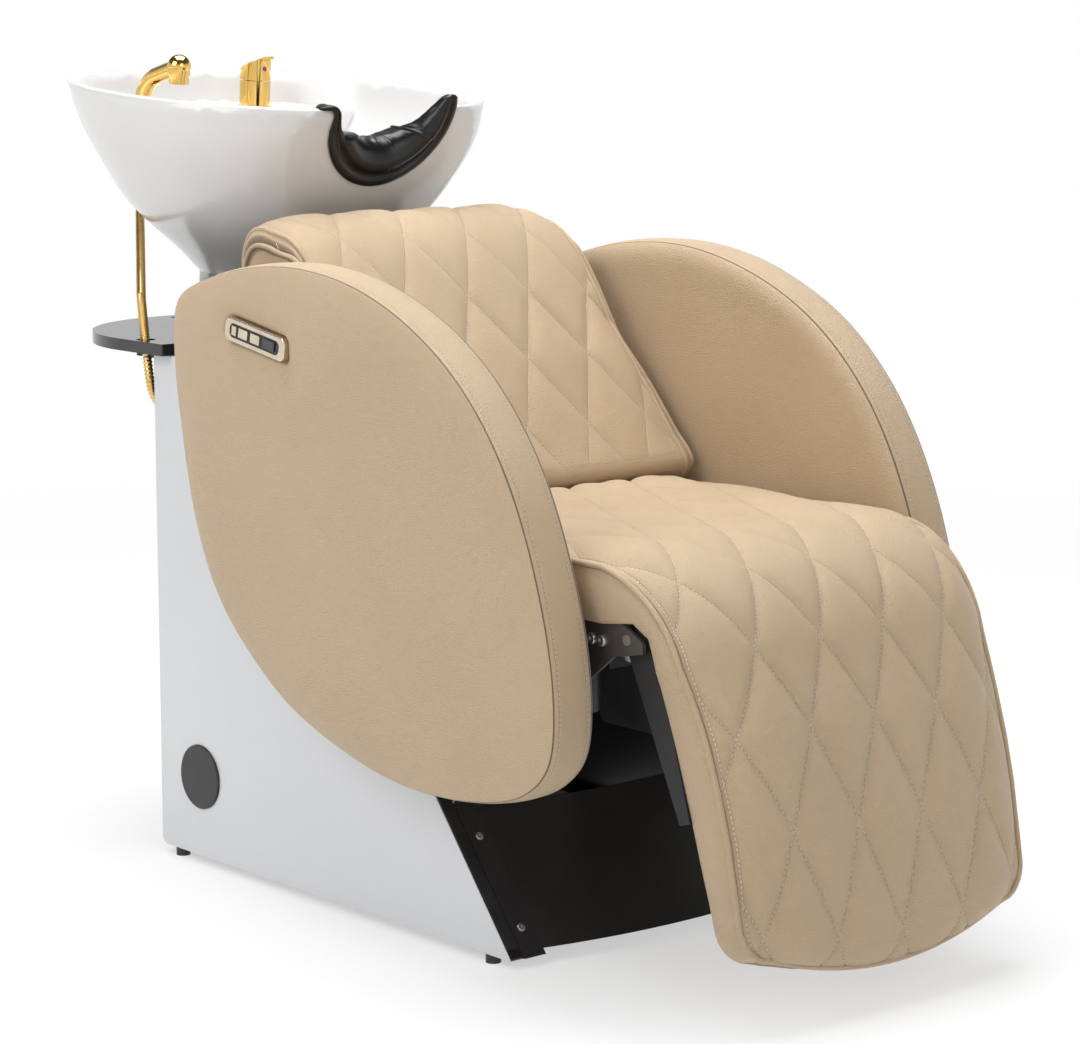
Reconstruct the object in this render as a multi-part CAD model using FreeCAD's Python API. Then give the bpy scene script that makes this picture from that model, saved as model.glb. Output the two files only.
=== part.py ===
import FreeCAD, Part
import math
import os

# Hair washing bed: a padded chair with a powered leg rest in front of a tilting ceramic basin.
# Millimetres. X runs across with the sitter's left on +X, the sitter faces -Y and Z is up.
# While modelling, Y = 0 is the rear edge of the side panels. The finished set is centred at the end.

# Overall driving sizes
panel_outer_half = 254.0
panel_thickness = 18.0
panel_foot_length = 696.0
panel_top_height = 642.0
panel_nose_height = 500.0
panel_nose_setback = 250.0
foot_height = 10.0
front_lean_share = 0.807
panel_corner_radius = 12.0
panel_edge_round = 3.0
sheet_gap = 0.3
running_gap = 0.05
overrun = 5.0

# Access caps and front edge strips
cap_radius = 41.0
cap_flange = 3.0
cap_plug_radius = 37.0
cap_plug_depth = 14.0
cap_setback = 89.0
cap_height = 113.0
strip_thickness = 2.0

# Feet
foot_radius = 9.0
foot_stud_radius = 4.0
foot_stud_length = 40.0
foot_rear_setback = 34.0
foot_front_setback = 654.0

# Steel frame
rail_width = 30.0
rail_height = 40.0
rail_base = 12.0
tube_wall = 2.0
side_rail_rear = 20.0
side_rail_front = 630.0
rear_rail_setback = 100.0
upright_size = 40.0
upright_half_spacing = 110.0
tie_depth = 30.0
tie_height = 40.0
tie_drop = 42.0
lower_tie_top = 340.0
side_plate_thickness = 5.0
side_plate_top = 428.0
side_plate_front = 893.0
side_plate_nose_height = 392.0
side_plate_knee = 846.0
side_plate_knee_height = 382.0
side_plate_toe = 567.0
side_plate_toe_height = 168.0
side_plate_rear = 300.0
side_plate_bottom = 150.0
seat_tube_width = 40.0
seat_tube_height = 30.0
seat_tube_bottom = 383.0
seat_tube_front = 840.0
seat_tube_rear = 420.0
bolt_radius = 4.0
bolt_head_radius = 7.0
bolt_head_height = 3.6
bracket_bolt_spacing = 16.0

# Apron
apron_sheet = 2.0
apron_half_width = 205.0
apron_bow = 24.0
apron_bottom = 17.0
apron_top = 160.0
flange_half_width = 235.0
flange_bottom = 11.0
flange_top = 166.0
apron_screw_heights = (40.0, 132.0)
apron_screw_half_spacing = 221.0
screw_radius = 2.5
screw_head_radius = 5.0
screw_head_height = 2.4
apron_angle_width = 24.0
apron_angle_top = 140.0

# Shelf and basin carrier
shelf_thickness = 15.0
shelf_half_width = 268.0
shelf_front = 40.0
shelf_rear = 262.0
shelf_corner_radius = 205.0
hose_hole_radius = 12.5
hose_hole_across = 249.0
hose_hole_rear = 25.0
service_cut_half_width = 66.0
service_cut_front = 20.0
service_cut_rear = 243.0
service_cut_radius = 10.0
hose_notch_pair = (-66.0, 18.0)
hose_notch_bottom = 356.0
hose_notch_radius = 20.0
arm_width = 26.0
arm_height = 32.0
arm_reach = 235.0
pedestal_plate = 6.0
pedestal_front = 116.0
pedestal_rear = 184.0
pivot_rear = 150.0
pivot_rise = 42.0
pivot_radius = 6.0
ear_half_spacing = 43.0
ear_half_length = 24.0
cradle_plate = 5.0
cradle_play = 1.0
cradle_ear_drop = 12.0

# Basin, measured level, then tilted about its pivot
rest_tilt = 4.1
rim_rise = 283.0
basin_half_width = 253.0
basin_half_length = 281.0
basin_centre = 103.0
basin_wall = 14.0
basin_depth = 246.0
oval_fullness_share = 0.91
oval_spots = 24
basin_floor = 18.0
foot_ring_radius = 66.0
foot_ring_height = 16.0
foot_ring_wall = 12.0
rim_round = 5.0
deck_front = 206.0
deck_drop = 43.0
deck_thickness = 14.0
pocket_half_width = 118.0
pocket_length = 112.0
notch_radius = 88.0
notch_drop = 4.0
tap_half_spacing = 92.0
tap_rear = 276.0
tap_hole_radius = 14.0
waste_rear = 58.0
waste_hole_radius = 22.0

# Depth below the rim against draw-in and rearward shift of the basin's oval, as shares
basin_depth_shares = (0.0, 0.1, 0.25, 0.41, 0.58, 0.78, 0.93, 1.0)
basin_draw_shares = (0.0, 0.021, 0.073, 0.16, 0.268, 0.472, 0.645, 0.725)
basin_shift_shares = (0.0, -0.25, -0.48, -0.53, -0.37, 0.11, 0.68, 1.0)
basin_shift = 13.5
front_flat = 151.0
front_flat_lean_share = 0.45

# Neck rest
neck_gap = 0.5
neck_liner_radius = 70.0
neck_pad_radius = 72.0
neck_pad_lift = 32.0
neck_lip_radius = 98.0
neck_lip_thickness = 8.0
neck_front = 160.0
neck_rear = 62.0
neck_edge_round = 6.0
neck_sweep = 194.0
neck_pad_sweep = 140.0
neck_pad_inset = 9.0

# Taps and hoses
mixer_radius = 21.0
mixer_flange_radius = 24.0
mixer_flange_height = 4.0
mixer_body_height = 38.0
mixer_stem_radius = 8.0
stem_depth = 12.0
lever_bore_gap = 2.0
lever_gap = 1.0
lever_heel_radius = 0.9
lever_heel_half = 4.0
lever_height = 32.0
lever_low_height = 5.0
lever_tip_length = 12.0
lever_tip_width = 12.0
lever_tip_thickness = 6.0
dot_radius = 3.2
dot_depth = 1.0
shank_radius = 12.0
shank_length = 34.0
holder_radius = 17.0
holder_height = 3.0
spray_handle_radius = 11.0
spray_insert_length = 24.0
spray_bend_radius = 50.0
spray_bend_angle = 72.0
spray_reach = 53.0
spray_head_radius = 15.5
spray_nozzle_radius = 13.0
spray_nozzle_length = 15.0
hose_radius = 6.0
hose_bore = 4.0
rib_depth = 0.5
rib_pitch = 3.3
rib_ring_shares = ((0.2, 0), (0.55, 0), (0.75, 1), (1, 1))
gland_radius = 8.0
gland_length = 18.0
waste_pipe_radius = 19.0
waste_pipe_wall = 2.0
waste_flange_radius = 30.0
waste_flange_height = 2.5
waste_pipe_length = 40.0
waste_hose_radius = 19.0
waste_hose_bore = 16.0
straight_hose_start = 60.0
straight_hose_end = 32.0
hose_gate_share = 0.8
hose_arc_share = 0.45

# Hose routes: across, behind the panels' rear edge, and up, drawn at one height of the panels
route_panel_top = 642.0
spray_hose_drop = 85.7
spray_hose_turn = (-240.0, 46.0, 704.0)
spray_hose_route = (
    (-247.0, 13.0, 584.0), (-228.0, 4.0, 562.0), (-208.0, -28.0, 545.0), (-196.0, -54.0, 505.0),
    (-188.0, -64.0, 455.0), (-174.0, -66.0, 402.0), (-152.0, -62.0, 350.0), (-118.0, -52.0, 314.0),
    (-78.0, -40.0, 320.0), (-46.0, -28.0, 358.0), (-26.0, -14.0, 408.0), (-12.0, 8.0, 460.0),
    (2.0, 40.0, 506.0), (14.0, 84.0, 538.0), (28.0, 132.0, 558.0), (42.0, 184.0, 578.0),
    (54.0, 214.0, 622.0), (64.0, 222.0, 676.0), (74.0, 234.0, 732.0), (84.0, 246.0, 790.0),
)
waste_hose_route = (
    (-4.0, 34.0, 560.0), (-18.0, -4.0, 498.0), (-30.0, -36.0, 430.0), (-36.0, -58.0, 352.0),
    (-34.0, -66.0, 270.0), (-28.0, -60.0, 188.0), (-26.0, -52.0, 108.0), (-26.0, -50.0, 40.0),
)

# Seat, back and leg rest upholstery
seat_half_width = 244.0
seat_rear = 448.0
seat_front = 832.0
seat_bottom = 418.0
seat_boxing = 62.0
seat_crown = 20.0
board_thickness = 12.0
board_inset = 22.0
pad_corner_radius = 34.0
seam_draw = 4.0
crown_layers = ((0.55, 22.0), (0.84, 62.0), (1.0, 116.0))
knee_across = 868.0
knee_height = 404.0
leg_angle = 16.7
leg_offset = 33.0
leg_start = 40.0
leg_end = 364.0
leg_bow = 33.0
leg_bow_radius = 950.0
leg_half_width_top = 238.0
leg_half_width_bottom = 224.0
leg_corner_radius = 42.0
knee_side_shares = (0.66, 0.605)
knee_crown_shares = (0.53, 0.77)

# Leg rest sections: run down from the knee, half width, seam height and crest height
leg_sections = (
    (40.0, 237.0, 71.0, 104.0), (62.0, 234.0, 74.0, 107.0), (95.0, 231.0, 78.5, 110.5),
    (130.0, 229.0, 81.5, 113.0), (180.0, 227.5, 83.0, 111.5), (231.0, 226.5, 81.5, 107.5),
    (290.0, 225.0, 75.5, 100.5), (332.0, 224.5, 71.0, 93.0), (364.0, 224.0, 69.0, 84.0),
    (402.0, 224.0, 68.0, 70.0),
)
back_lean = 36.6
back_top_across = 215.0
back_top_height = 817.0
back_length = 398.0
back_half_width_top = 218.0
back_half_width_bottom = 239.0
back_thickness = 108.0
shell_thickness = 58.0
back_pad_thickness = 37.0
back_crown = 24.0
back_top_rise = 34.0
back_corner_radius = 36.0
soft_gap = 0.3
groove_width = 3.0
groove_depth = 3.0
quilt_pitch_across = 98.0
quilt_pitch_along = 197.0
quilt_margin = 14.0
seat_quilt_row = -713.5
leg_quilt_row = 128.0
back_quilt_row = 135.0
bracket_shares = (0.42, 0.78)

# Rear shell of the backrest: height of each layer, its inset, and the rise of its top edge as a share
shell_layers = ((0.0, 12.0, 0.25), (8.0, 4.0, -0.5), (24.0, 1.0, -1.0), (43.5, 1.0, -1.0),
                (58.0, 4.0, -0.75))

# Armrests
armrest_front = 845.0
armrest_rear = 142.0
armrest_bottom = 201.0
armrest_top = 778.0
armrest_inner_seam = 264.4
armrest_outer_seam = 318.5
armrest_face_crown = 10.0
armrest_core_start = 283.0
armrest_core_thickness = 12.0
armrest_core_inset = 24.0
armrest_bolt_drops = ((230.0, 42.0), (230.0, 202.0), (400.0, 322.0))

# Armrest outline as shares of its length from the rear and of its height from the bottom
armrest_outline_shares = (
    (0.011, 0.903), (0.081, 0.950), (0.199, 0.986), (0.339, 1.0), (0.474, 0.983),
    (0.629, 0.922), (0.778, 0.808), (0.893, 0.640), (0.967, 0.433), (1.0, 0.215),
    (0.985, 0.115), (0.926, 0.050), (0.822, 0.014), (0.698, 0.0), (0.488, 0.033),
    (0.239, 0.161), (0.083, 0.366), (0.014, 0.653), (0.0, 0.841),
)

# Key panel on the right armrest
key_panel_setback = 325.0
key_panel_height = 691.0
key_panel_turn = 9.5
bezel_length = 118.0
bezel_width = 28.0
bezel_round = 9.0
bezel_proud = 3.0
bezel_depth = 12.0
insert_length = 98.0
insert_width = 17.0
insert_recess = 1.0
insert_round = 7.0
insert_thickness = 3.0
key_height = 11.0
key_gap = 0.3
key_travel = 1.2
key_proud = 1.6
key_thickness = 7.0
key_lengths = (9.0, 18.0, 18.0, 22.0)
key_centres = (-40.0, -22.0, 2.0, 29.0)
key_names = ("light_key", "legrest_up_key", "legrest_down_key", "power_key")

# Leg rest drive
leg_arm_thickness = 5.0
leg_arm_across = 222.0
leg_arm_length = 205.0
leg_arm_back = 12.0
leg_arm_boss = 16.0
leg_pin_radius = 6.0
leg_tab_width = 88.0
lift_angle = 70.0
hook_radius = 80.0
hook_plate = 6.0
hook_gap = 4.5
hook_foot_start = 70.0
hook_foot_end = 140.0
yoke_thickness = 12.0
yoke_slot_play = 1.3
yoke_rim = 8.0
drive_pin_radius = 5.0
drive_tube_rear = 500.0
drive_tube_front = 770.0
drive_tube_radius = 22.0
drive_rod_radius = 10.0
drive_rod_engaged = 190.0
drive_bracket_setback = 600.0
drive_bracket_half = 32.0
clamp_wall = 5.0
drive_bracket_depth = 24.0
motor_length = 78.0
motor_radius = 24.0

# Cabinet services
cover_sheet = 1.5
cover_setback = 16.0
cover_bottom = 16.0
cover_top = 540.0
cover_angle = 20.0
cover_screw_shares = (0.16, 0.5, 0.92)
box_half_width = 78.0
box_length = 90.0
box_height = 48.0
inlet_across = 165.0
inlet_height = 110.0
inlet_width = 48.0
inlet_tall = 28.0
inlet_depth = 26.0

# Derived places
tie_top = panel_top_height - tie_drop
pivot_height = panel_top_height + pivot_rise
rim_height = pivot_height + rim_rise
panel_inner_half = panel_outer_half - panel_thickness
front_base = -panel_foot_length
lean = math.radians(leg_angle)
armrest_bolt_places = [(setback, panel_top_height - drop) for setback, drop in armrest_bolt_drops]
parts = {}


def point(x, y, z):
    return FreeCAD.Vector(x, y, z)


def block(x_pair, y_pair, z_pair):
    low = point(min(x_pair), min(y_pair), min(z_pair))
    size = [abs(pair[1] - pair[0]) for pair in (x_pair, y_pair, z_pair)]
    return Part.makeBox(size[0], size[1], size[2], low)


def rod(start, direction, radius, length):
    return Part.makeCylinder(radius, length, start, direction)


def across_rod(x_pair, y, z, radius):
    return rod(point(min(x_pair), y, z), point(1, 0, 0), radius, abs(x_pair[1] - x_pair[0]))


def both_sides(maker):
    return maker(-1), maker(1)


def unit(pair):
    size = math.hypot(pair[0], pair[1])
    return pair[0] / size, pair[1] / size


def corner_tangents(before, here, after):
    """Tangent points and middle of the arc that rounds one corner of an outline."""
    u, v, radius = here
    if radius <= 0:
        return (u, v), None, (u, v)
    a = unit((before[0] - u, before[1] - v))
    b = unit((after[0] - u, after[1] - v))
    dot = max(-1.0, min(1.0, a[0] * b[0] + a[1] * b[1]))
    half = math.acos(dot) / 2
    run = radius / math.tan(half)
    first = (u + a[0] * run, v + a[1] * run)
    last = (u + b[0] * run, v + b[1] * run)
    bisector = unit((a[0] + b[0], a[1] + b[1]))
    reach = radius / math.sin(half) - radius
    return first, (u + bisector[0] * reach, v + bisector[1] * reach), last


def rounded_wire(corners, place):
    """Closed wire through corners (u, v, radius), put into space by place(u, v)."""
    turns = []
    for index, here in enumerate(corners):
        after = corners[(index + 1) % len(corners)]
        turns.append(corner_tangents(corners[index - 1], here, after))
    edges = []
    for index, (first, middle, last) in enumerate(turns):
        if middle:
            edges.append(Part.Arc(place(*first), place(*middle), place(*last)).toShape())
        following = turns[(index + 1) % len(turns)][0]
        if math.hypot(following[0] - last[0], following[1] - last[1]) > running_gap:
            edges.append(Part.makeLine(place(*last), place(*following)))
    return Part.Wire(edges)


def plate(corners, place, push):
    return Part.Face(rounded_wire(corners, place)).extrude(push)


def side_plate(corners, x_pair):
    """Plate whose outline lies in Y and Z, between two places across."""
    x = min(x_pair)
    return plate(corners, lambda u, v: point(x, u, v), point(abs(x_pair[1] - x_pair[0]), 0, 0))


def flat_plate(corners, z_pair):
    z = min(z_pair)
    return plate(corners, lambda u, v: point(u, v, z), point(0, 0, abs(z_pair[1] - z_pair[0])))


def rectangle(u_pair, v_pair, radius):
    low_u, high_u = min(u_pair), max(u_pair)
    low_v, high_v = min(v_pair), max(v_pair)
    return [(low_u, low_v, radius), (high_u, low_v, radius), (high_u, high_v, radius),
            (low_u, high_v, radius)]


def inset_corners(corners, distance):
    """The same outline, run counter-clockwise, drawn in by a distance."""
    count = len(corners)
    lines = []
    for index in range(count):
        u0, v0 = corners[index][:2]
        u1, v1 = corners[(index + 1) % count][:2]
        du, dv = unit((u1 - u0, v1 - v0))
        lines.append((u0 - dv * distance, v0 + du * distance, du, dv))
    result = []
    for index in range(count):
        u0, v0, du0, dv0 = lines[index - 1]
        u1, v1, du1, dv1 = lines[index]
        cross = du0 * dv1 - dv0 * du1
        run = ((u1 - u0) * dv1 - (v1 - v0) * du1) / cross
        radius = corners[index][2]
        smaller = max(radius - distance, radius / 5) if radius > 0 else radius
        result.append((u0 + du0 * run, v0 + dv0 * run, smaller))
    return result


def box_tube(x_pair, y_pair, z_pair, along):
    """Square steel tube, open at the ends of its long axis, which is 0, 1 or 2."""
    outer = block(x_pair, y_pair, z_pair)
    pairs = [list(x_pair), list(y_pair), list(z_pair)]
    for axis in range(3):
        grow = overrun if axis == along else -tube_wall
        pairs[axis] = [min(pairs[axis]) - grow, max(pairs[axis]) + grow]
    return outer.cut(block(*pairs))


def front_edge(z):
    """Y of the leaning front edge of the side panels."""
    return front_base + front_lean_share * (z - foot_height)


def keep(name, *solids):
    parts[name] = solids[0] if len(solids) == 1 else Part.makeCompound(list(solids))


class Slab:
    """Frame of a padded slab: u across, s along it and t out of its face."""

    def __init__(self, origin, along, out):
        self.origin = origin
        self.along = along
        self.out = out

    def at(self, u, s, t):
        return self.origin + point(u, 0, 0) + self.along * s + self.out * t

    def wire(self, corners, t):
        return rounded_wire(corners, lambda u, s: self.at(u, s, t))

    def pad(self, corners, layers):
        """Loft through layers (t, inset) of one outline."""
        wires = [self.wire(inset_corners(corners, inset), t) for t, inset in layers]
        return Part.makeLoft(wires, True, True)

    def board(self, corners, t_pair):
        wire = self.wire(corners, min(t_pair))
        return Part.Face(wire).extrude(self.out * abs(t_pair[1] - t_pair[0]))


def pad_layers(boxing, crown):
    """Drawn-in sides up to the piped seam, then the crown."""
    sides = [(0, seam_draw), (boxing / 5, 1), (boxing / 2, 0), (boxing * 4 / 5, 1), (boxing, seam_draw)]
    return sides + [(boxing + crown * rise, inset) for rise, inset in crown_layers]


def quilted(pad, slab, corners, t_pair, row):
    """Presses the stitched diamond lines into a pad. row is the s of one line of crossings on its middle."""
    span = 2 * quilt_pitch_along
    low_s = min(corner[1] for corner in corners)
    high_s = max(corner[1] for corner in corners)
    half_u = max(corner[0] for corner in corners)
    angle = math.atan2(quilt_pitch_along, quilt_pitch_across)
    t_reach = (min(t_pair) - groove_depth, max(t_pair) + groove_depth)
    count = int((half_u + span) / quilt_pitch_across) + 1
    lines = []
    for sign in (-1, 1):
        run = (math.cos(angle), sign * math.sin(angle))
        wide = (-run[1] * groove_width / 2, run[0] * groove_width / 2)
        for index in range(-count, count + 1):
            u = index * quilt_pitch_across
            first = (u + run[0] * (low_s - row) / run[1], low_s)
            last = (u + run[0] * (high_s - row) / run[1], high_s)
            strip = [(first[0] - wide[0], first[1] - wide[1], 0),
                     (first[0] + wide[0], first[1] + wide[1], 0),
                     (last[0] + wide[0], last[1] + wide[1], 0), (last[0] - wide[0], last[1] - wide[1], 0)]
            line = slab.board(strip, t_reach).common(slab.board(corners, t_reach))
            if line.Solids:
                lines.append(line)
    lowered = pad.copy()
    lowered.translate(slab.out * -groove_depth)
    return pad.cut(Part.makeCompound(lines).cut(lowered))


def panel_corners():
    nose = front_edge(panel_nose_height)
    return [(0, foot_height, panel_corner_radius), (front_base, foot_height, strip_thickness),
            (nose, panel_nose_height, 4 * panel_corner_radius),
            (-panel_nose_setback, panel_top_height, 2 * panel_corner_radius),
            (0, panel_top_height, strip_thickness)]


def make_side_panels():
    for side, name in ((-1, "side_panel_right"), (1, "side_panel_left")):
        inner, outer = side * panel_inner_half, side * panel_outer_half
        body = side_plate(panel_corners(), (inner, outer))
        edges = [edge for edge in body.Edges
                 if abs(edge.BoundBox.XMin - outer) < running_gap and edge.BoundBox.XLength < running_gap]
        body = body.makeFillet(panel_edge_round / 2, edges)
        hole = across_rod((inner - side * overrun, outer + side * overrun), -cap_setback, cap_height,
                          cap_plug_radius + sheet_gap)
        holes = [hole]
        for y, z in armrest_bolt_places:
            holes.append(across_rod((inner - side * overrun, outer + side * overrun), -y, z,
                                    bolt_radius + sheet_gap))
        for y in (foot_rear_setback, foot_front_setback):
            holes.append(rod(point(side * (inner_middle()), -y, 0), point(0, 0, 1),
                             foot_stud_radius + running_gap, foot_stud_length + foot_height))
        keep(name, body.cut(Part.makeCompound(holes)))


def inner_middle():
    return (panel_inner_half + panel_outer_half) / 2


def make_access_caps():
    caps = []
    for side in (-1, 1):
        outer = side * panel_outer_half
        flange = across_rod((outer, outer + side * cap_flange), -cap_setback, cap_height, cap_radius)
        rim = [edge for edge in flange.Edges if abs(edge.BoundBox.XMin - outer) > cap_flange / 2
               and edge.BoundBox.XLength < running_gap]
        flange = flange.makeFillet(cap_flange / 2, rim)
        plug = across_rod((outer - side * cap_plug_depth, outer), -cap_setback, cap_height, cap_plug_radius)
        hollow = across_rod((outer - side * (cap_plug_depth + overrun), outer - side * cap_flange),
                            -cap_setback, cap_height, cap_plug_radius - 2 * tube_wall)
        caps.append(flange.fuse(plug).cut(hollow))
    keep("access_caps", *caps)


def make_edge_strips():
    """Black trim that closes the leaning front edge of each side panel."""
    top = panel_nose_height / 2
    strips = []
    for side in (-1, 1):
        corners = [(front_edge(foot_height + panel_corner_radius), foot_height + panel_corner_radius, 0),
                   (front_edge(foot_height + panel_corner_radius) - strip_thickness,
                    foot_height + panel_corner_radius, 0),
                   (front_edge(top) - strip_thickness, top, 0), (front_edge(top), top, 0)]
        strips.append(side_plate(corners,
                                 (side * panel_inner_half, side * (panel_outer_half - strip_thickness))))
    keep("panel_edge_strips", *strips)


def make_feet():
    feet = []
    for side in (-1, 1):
        for y in (foot_rear_setback, foot_front_setback):
            place = point(side * inner_middle(), -y, 0)
            pad = rod(place, point(0, 0, 1), foot_radius, foot_height)
            feet.append(pad.fuse(rod(place, point(0, 0, 1), foot_stud_radius, foot_stud_length)))
    keep("feet", *feet)


def rear_rail_pair():
    return -rear_rail_setback, -rear_rail_setback - upright_size


def make_frame():
    rail_z = (rail_base, rail_base + rail_height)
    rails = both_sides(lambda side: box_tube((side * panel_inner_half,
                                              side * (panel_inner_half - rail_width)),
                                             (-side_rail_rear, -side_rail_front), rail_z, 1))
    inner = panel_inner_half - rail_width
    rear = box_tube((-inner, inner), rear_rail_pair(), rail_z, 0)
    front = box_tube((-inner, inner), (-side_rail_front, -side_rail_front + upright_size), rail_z, 0)
    keep("base_frame", *rails, rear, front)
    half = upright_size / 2
    uprights = both_sides(lambda side: box_tube(
        (side * upright_half_spacing - half, side * upright_half_spacing + half), rear_rail_pair(),
        (rail_base + rail_height, panel_top_height), 2))
    tie_y = (-rear_rail_setback - upright_size, -rear_rail_setback - upright_size - tie_depth)
    ties = [box_tube((-panel_inner_half, panel_inner_half), tie_y, (top - tie_height, top), 0)
            for top in (tie_top, lower_tie_top)]
    keep("rear_frame", *uprights, *ties)


def side_plate_corners():
    return [(-side_plate_rear, side_plate_bottom, panel_corner_radius),
            (-side_plate_rear, side_plate_top, panel_corner_radius),
            (-side_plate_knee, side_plate_top, panel_corner_radius),
            (-side_plate_front, side_plate_nose_height + panel_corner_radius, panel_corner_radius / 2),
            (-side_plate_front, side_plate_nose_height, strip_thickness),
            (-side_plate_knee, side_plate_knee_height, strip_thickness),
            (-side_plate_toe, side_plate_toe_height, panel_corner_radius / 2),
            (-side_plate_toe + panel_corner_radius, side_plate_bottom, panel_corner_radius / 3)]


def bracket_bolt_places():
    middle = seat_tube_front - seat_tube_width / 2
    height = seat_tube_bottom + seat_tube_height / 2
    half = bracket_bolt_spacing / 2
    return ((middle - half, height), (middle + half, height))


def make_side_plates():
    plates = []
    for side in (-1, 1):
        outer = side * panel_inner_half
        inner = outer - side * side_plate_thickness
        body = side_plate(side_plate_corners(), (inner, outer))
        reach = (inner - side * overrun, outer + side * overrun)
        holes = [across_rod(reach, -knee_across, knee_height, leg_pin_radius + running_gap)]
        holes.append(across_rod(reach, -knee_across, knee_height + bracket_bolt_spacing, screw_radius))
        for y, z in bracket_bolt_places():
            holes.append(across_rod(reach, -y, z, bolt_radius + running_gap))
        y, z = armrest_bolt_places[2]
        holes.append(across_rod(reach, -y, z, bolt_radius + sheet_gap))
        plates.append(body.cut(Part.makeCompound(holes)))
    keep("seat_side_plates", *plates)


def domed_bolt(x, side, y, z, shank):
    """Button-head bolt whose head sits on the plane at x and points to the side."""
    head = Part.makeSphere(bolt_head_radius, point(x, y, z))
    head = head.common(across_rod((x, x + side * bolt_head_height), y, z, bolt_head_radius - running_gap))
    socket = across_rod((x + side * bolt_head_height / 2, x + side * 2 * bolt_head_height), y, z,
                        screw_radius)
    return head.cut(socket).fuse(across_rod((x - side * shank, x), y, z, bolt_radius))


def make_seat_tubes():
    inner = panel_inner_half - side_plate_thickness
    z_pair = (seat_tube_bottom, seat_tube_bottom + seat_tube_height)
    front = box_tube((-inner, inner), (-seat_tube_front, -seat_tube_front + seat_tube_width), z_pair, 0)
    rear = box_tube((-inner, inner), (-seat_tube_rear, -seat_tube_rear + seat_tube_width), z_pair, 0)
    drive_z = drive_height() + drive_tube_radius + clamp_wall
    drive = box_tube((-inner, inner),
                     (-drive_bracket_setback - rail_width / 2, -drive_bracket_setback + rail_width / 2),
                     (drive_z, drive_z + rail_width), 0)
    holes = []
    for side in (-1, 1):
        for y, z in bracket_bolt_places():
            holes.append(across_rod((side * (inner - rail_width), side * (inner + overrun)), -y, z,
                                    bolt_radius + running_gap))
    ribs = []
    for side in (-1, 1):
        rib = block((side * (inner - rail_width), side * inner),
                    (-seat_tube_front + tube_wall, -seat_tube_front + seat_tube_width - tube_wall),
                    (seat_tube_bottom + tube_wall, seat_tube_bottom + seat_tube_height - tube_wall))
        ribs.append(rib)
    front = front.fuse(ribs).cut(Part.makeCompound(holes))
    keep("seat_cross_tubes", front, rear, drive)
    bolts = []
    for side in (-1, 1):
        for y, z in bracket_bolt_places():
            bolts.append(domed_bolt(side * panel_inner_half, side, -y, z,
                                    side_plate_thickness + rail_width - overrun))
    return bolts


def apron_section(half_width, y, sheet):
    """Horizontal section of the bowed sheet as a closed face at floor level."""
    front = [point(-half_width, y, 0), point(0, y - apron_bow, 0), point(half_width, y, 0)]
    rear = [spot + point(0, sheet, 0) for spot in front]
    edges = [Part.Arc(*front).toShape(), Part.makeLine(front[2], rear[2]), Part.Arc(*rear).toShape(),
             Part.makeLine(rear[0], front[0])]
    return Part.Face(Part.Wire(edges))


def make_apron():
    outward = strip_thickness
    shift = front_edge(apron_bottom) - outward
    section = apron_section(apron_half_width, shift, apron_sheet)
    section.translate(point(0, 0, apron_bottom))
    rise = apron_top - apron_bottom
    apron = section.extrude(point(0, front_lean_share * rise, rise))
    y = front_edge(flange_bottom) - outward
    flanges = []
    for side in (-1, 1):
        corners = [(side * (apron_half_width - apron_sheet), y, 0), (side * flange_half_width, y, 0),
                   (side * flange_half_width, y + apron_sheet, 0),
                   (side * (apron_half_width - apron_sheet), y + apron_sheet, 0)]
        strip = Part.Face(rounded_wire(corners, lambda u, v: point(u, v, flange_bottom)))
        tall = flange_top - flange_bottom
        flanges.append(strip.extrude(point(0, front_lean_share * tall, tall)))
    apron = apron.fuse(flanges)
    holes, screws = [], []
    outward_normal = point(0, -1, front_lean_share)
    outward_normal.normalize()
    for side in (-1, 1):
        for height in apron_screw_heights:
            seat = point(side * apron_screw_half_spacing, front_edge(height) - outward, height)
            deep = seat - outward_normal * (apron_sheet + 4 * strip_thickness)
            holes.append(rod(deep, outward_normal, screw_radius + running_gap, 8 * strip_thickness))
            shank = rod(deep, outward_normal, screw_radius, apron_sheet + 4 * strip_thickness)
            head = rod(seat, outward_normal, screw_head_radius, screw_head_height)
            far = screw_head_height / 2
            rim = [edge for edge in head.Edges if edge.BoundBox.Center.distanceToPoint(seat) > far
                   and len(edge.Vertexes) == 1]
            head = head.makeFillet(screw_head_height / 2, rim)
            socket = rod(seat + outward_normal * screw_head_height / 2, outward_normal, screw_radius / 2,
                         overrun)
            screws.append(shank.fuse(head).cut(socket))
    keep("front_apron", apron.cut(Part.makeCompound(holes)))
    angles = []
    tall = apron_angle_top - flange_bottom
    for side in (-1, 1):
        y0 = front_edge(flange_bottom) - outward + apron_sheet
        across = (side * panel_inner_half, side * (panel_inner_half - apron_angle_width))
        corners = [(across[0], y0, 0), (across[1], y0, 0), (across[1], y0 + 2 * strip_thickness, 0),
                   (across[0], y0 + 2 * strip_thickness, 0)]
        foot = Part.Face(rounded_wire(corners, lambda u, v: point(u, v, flange_bottom)))
        angle = foot.extrude(point(0, front_lean_share * tall, tall))
        corners = [(across[0], y0, 0), (across[0] - side * strip_thickness, y0, 0),
                   (across[0] - side * strip_thickness, y0 + apron_angle_width, 0),
                   (across[0], y0 + apron_angle_width, 0)]
        web = Part.Face(rounded_wire(corners, lambda u, v: point(u, v, flange_bottom)))
        web = web.extrude(point(0, front_lean_share * tall, tall))
        angles.append(angle.fuse(web).cut(Part.makeCompound(holes)))
    return angles, screws


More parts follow.
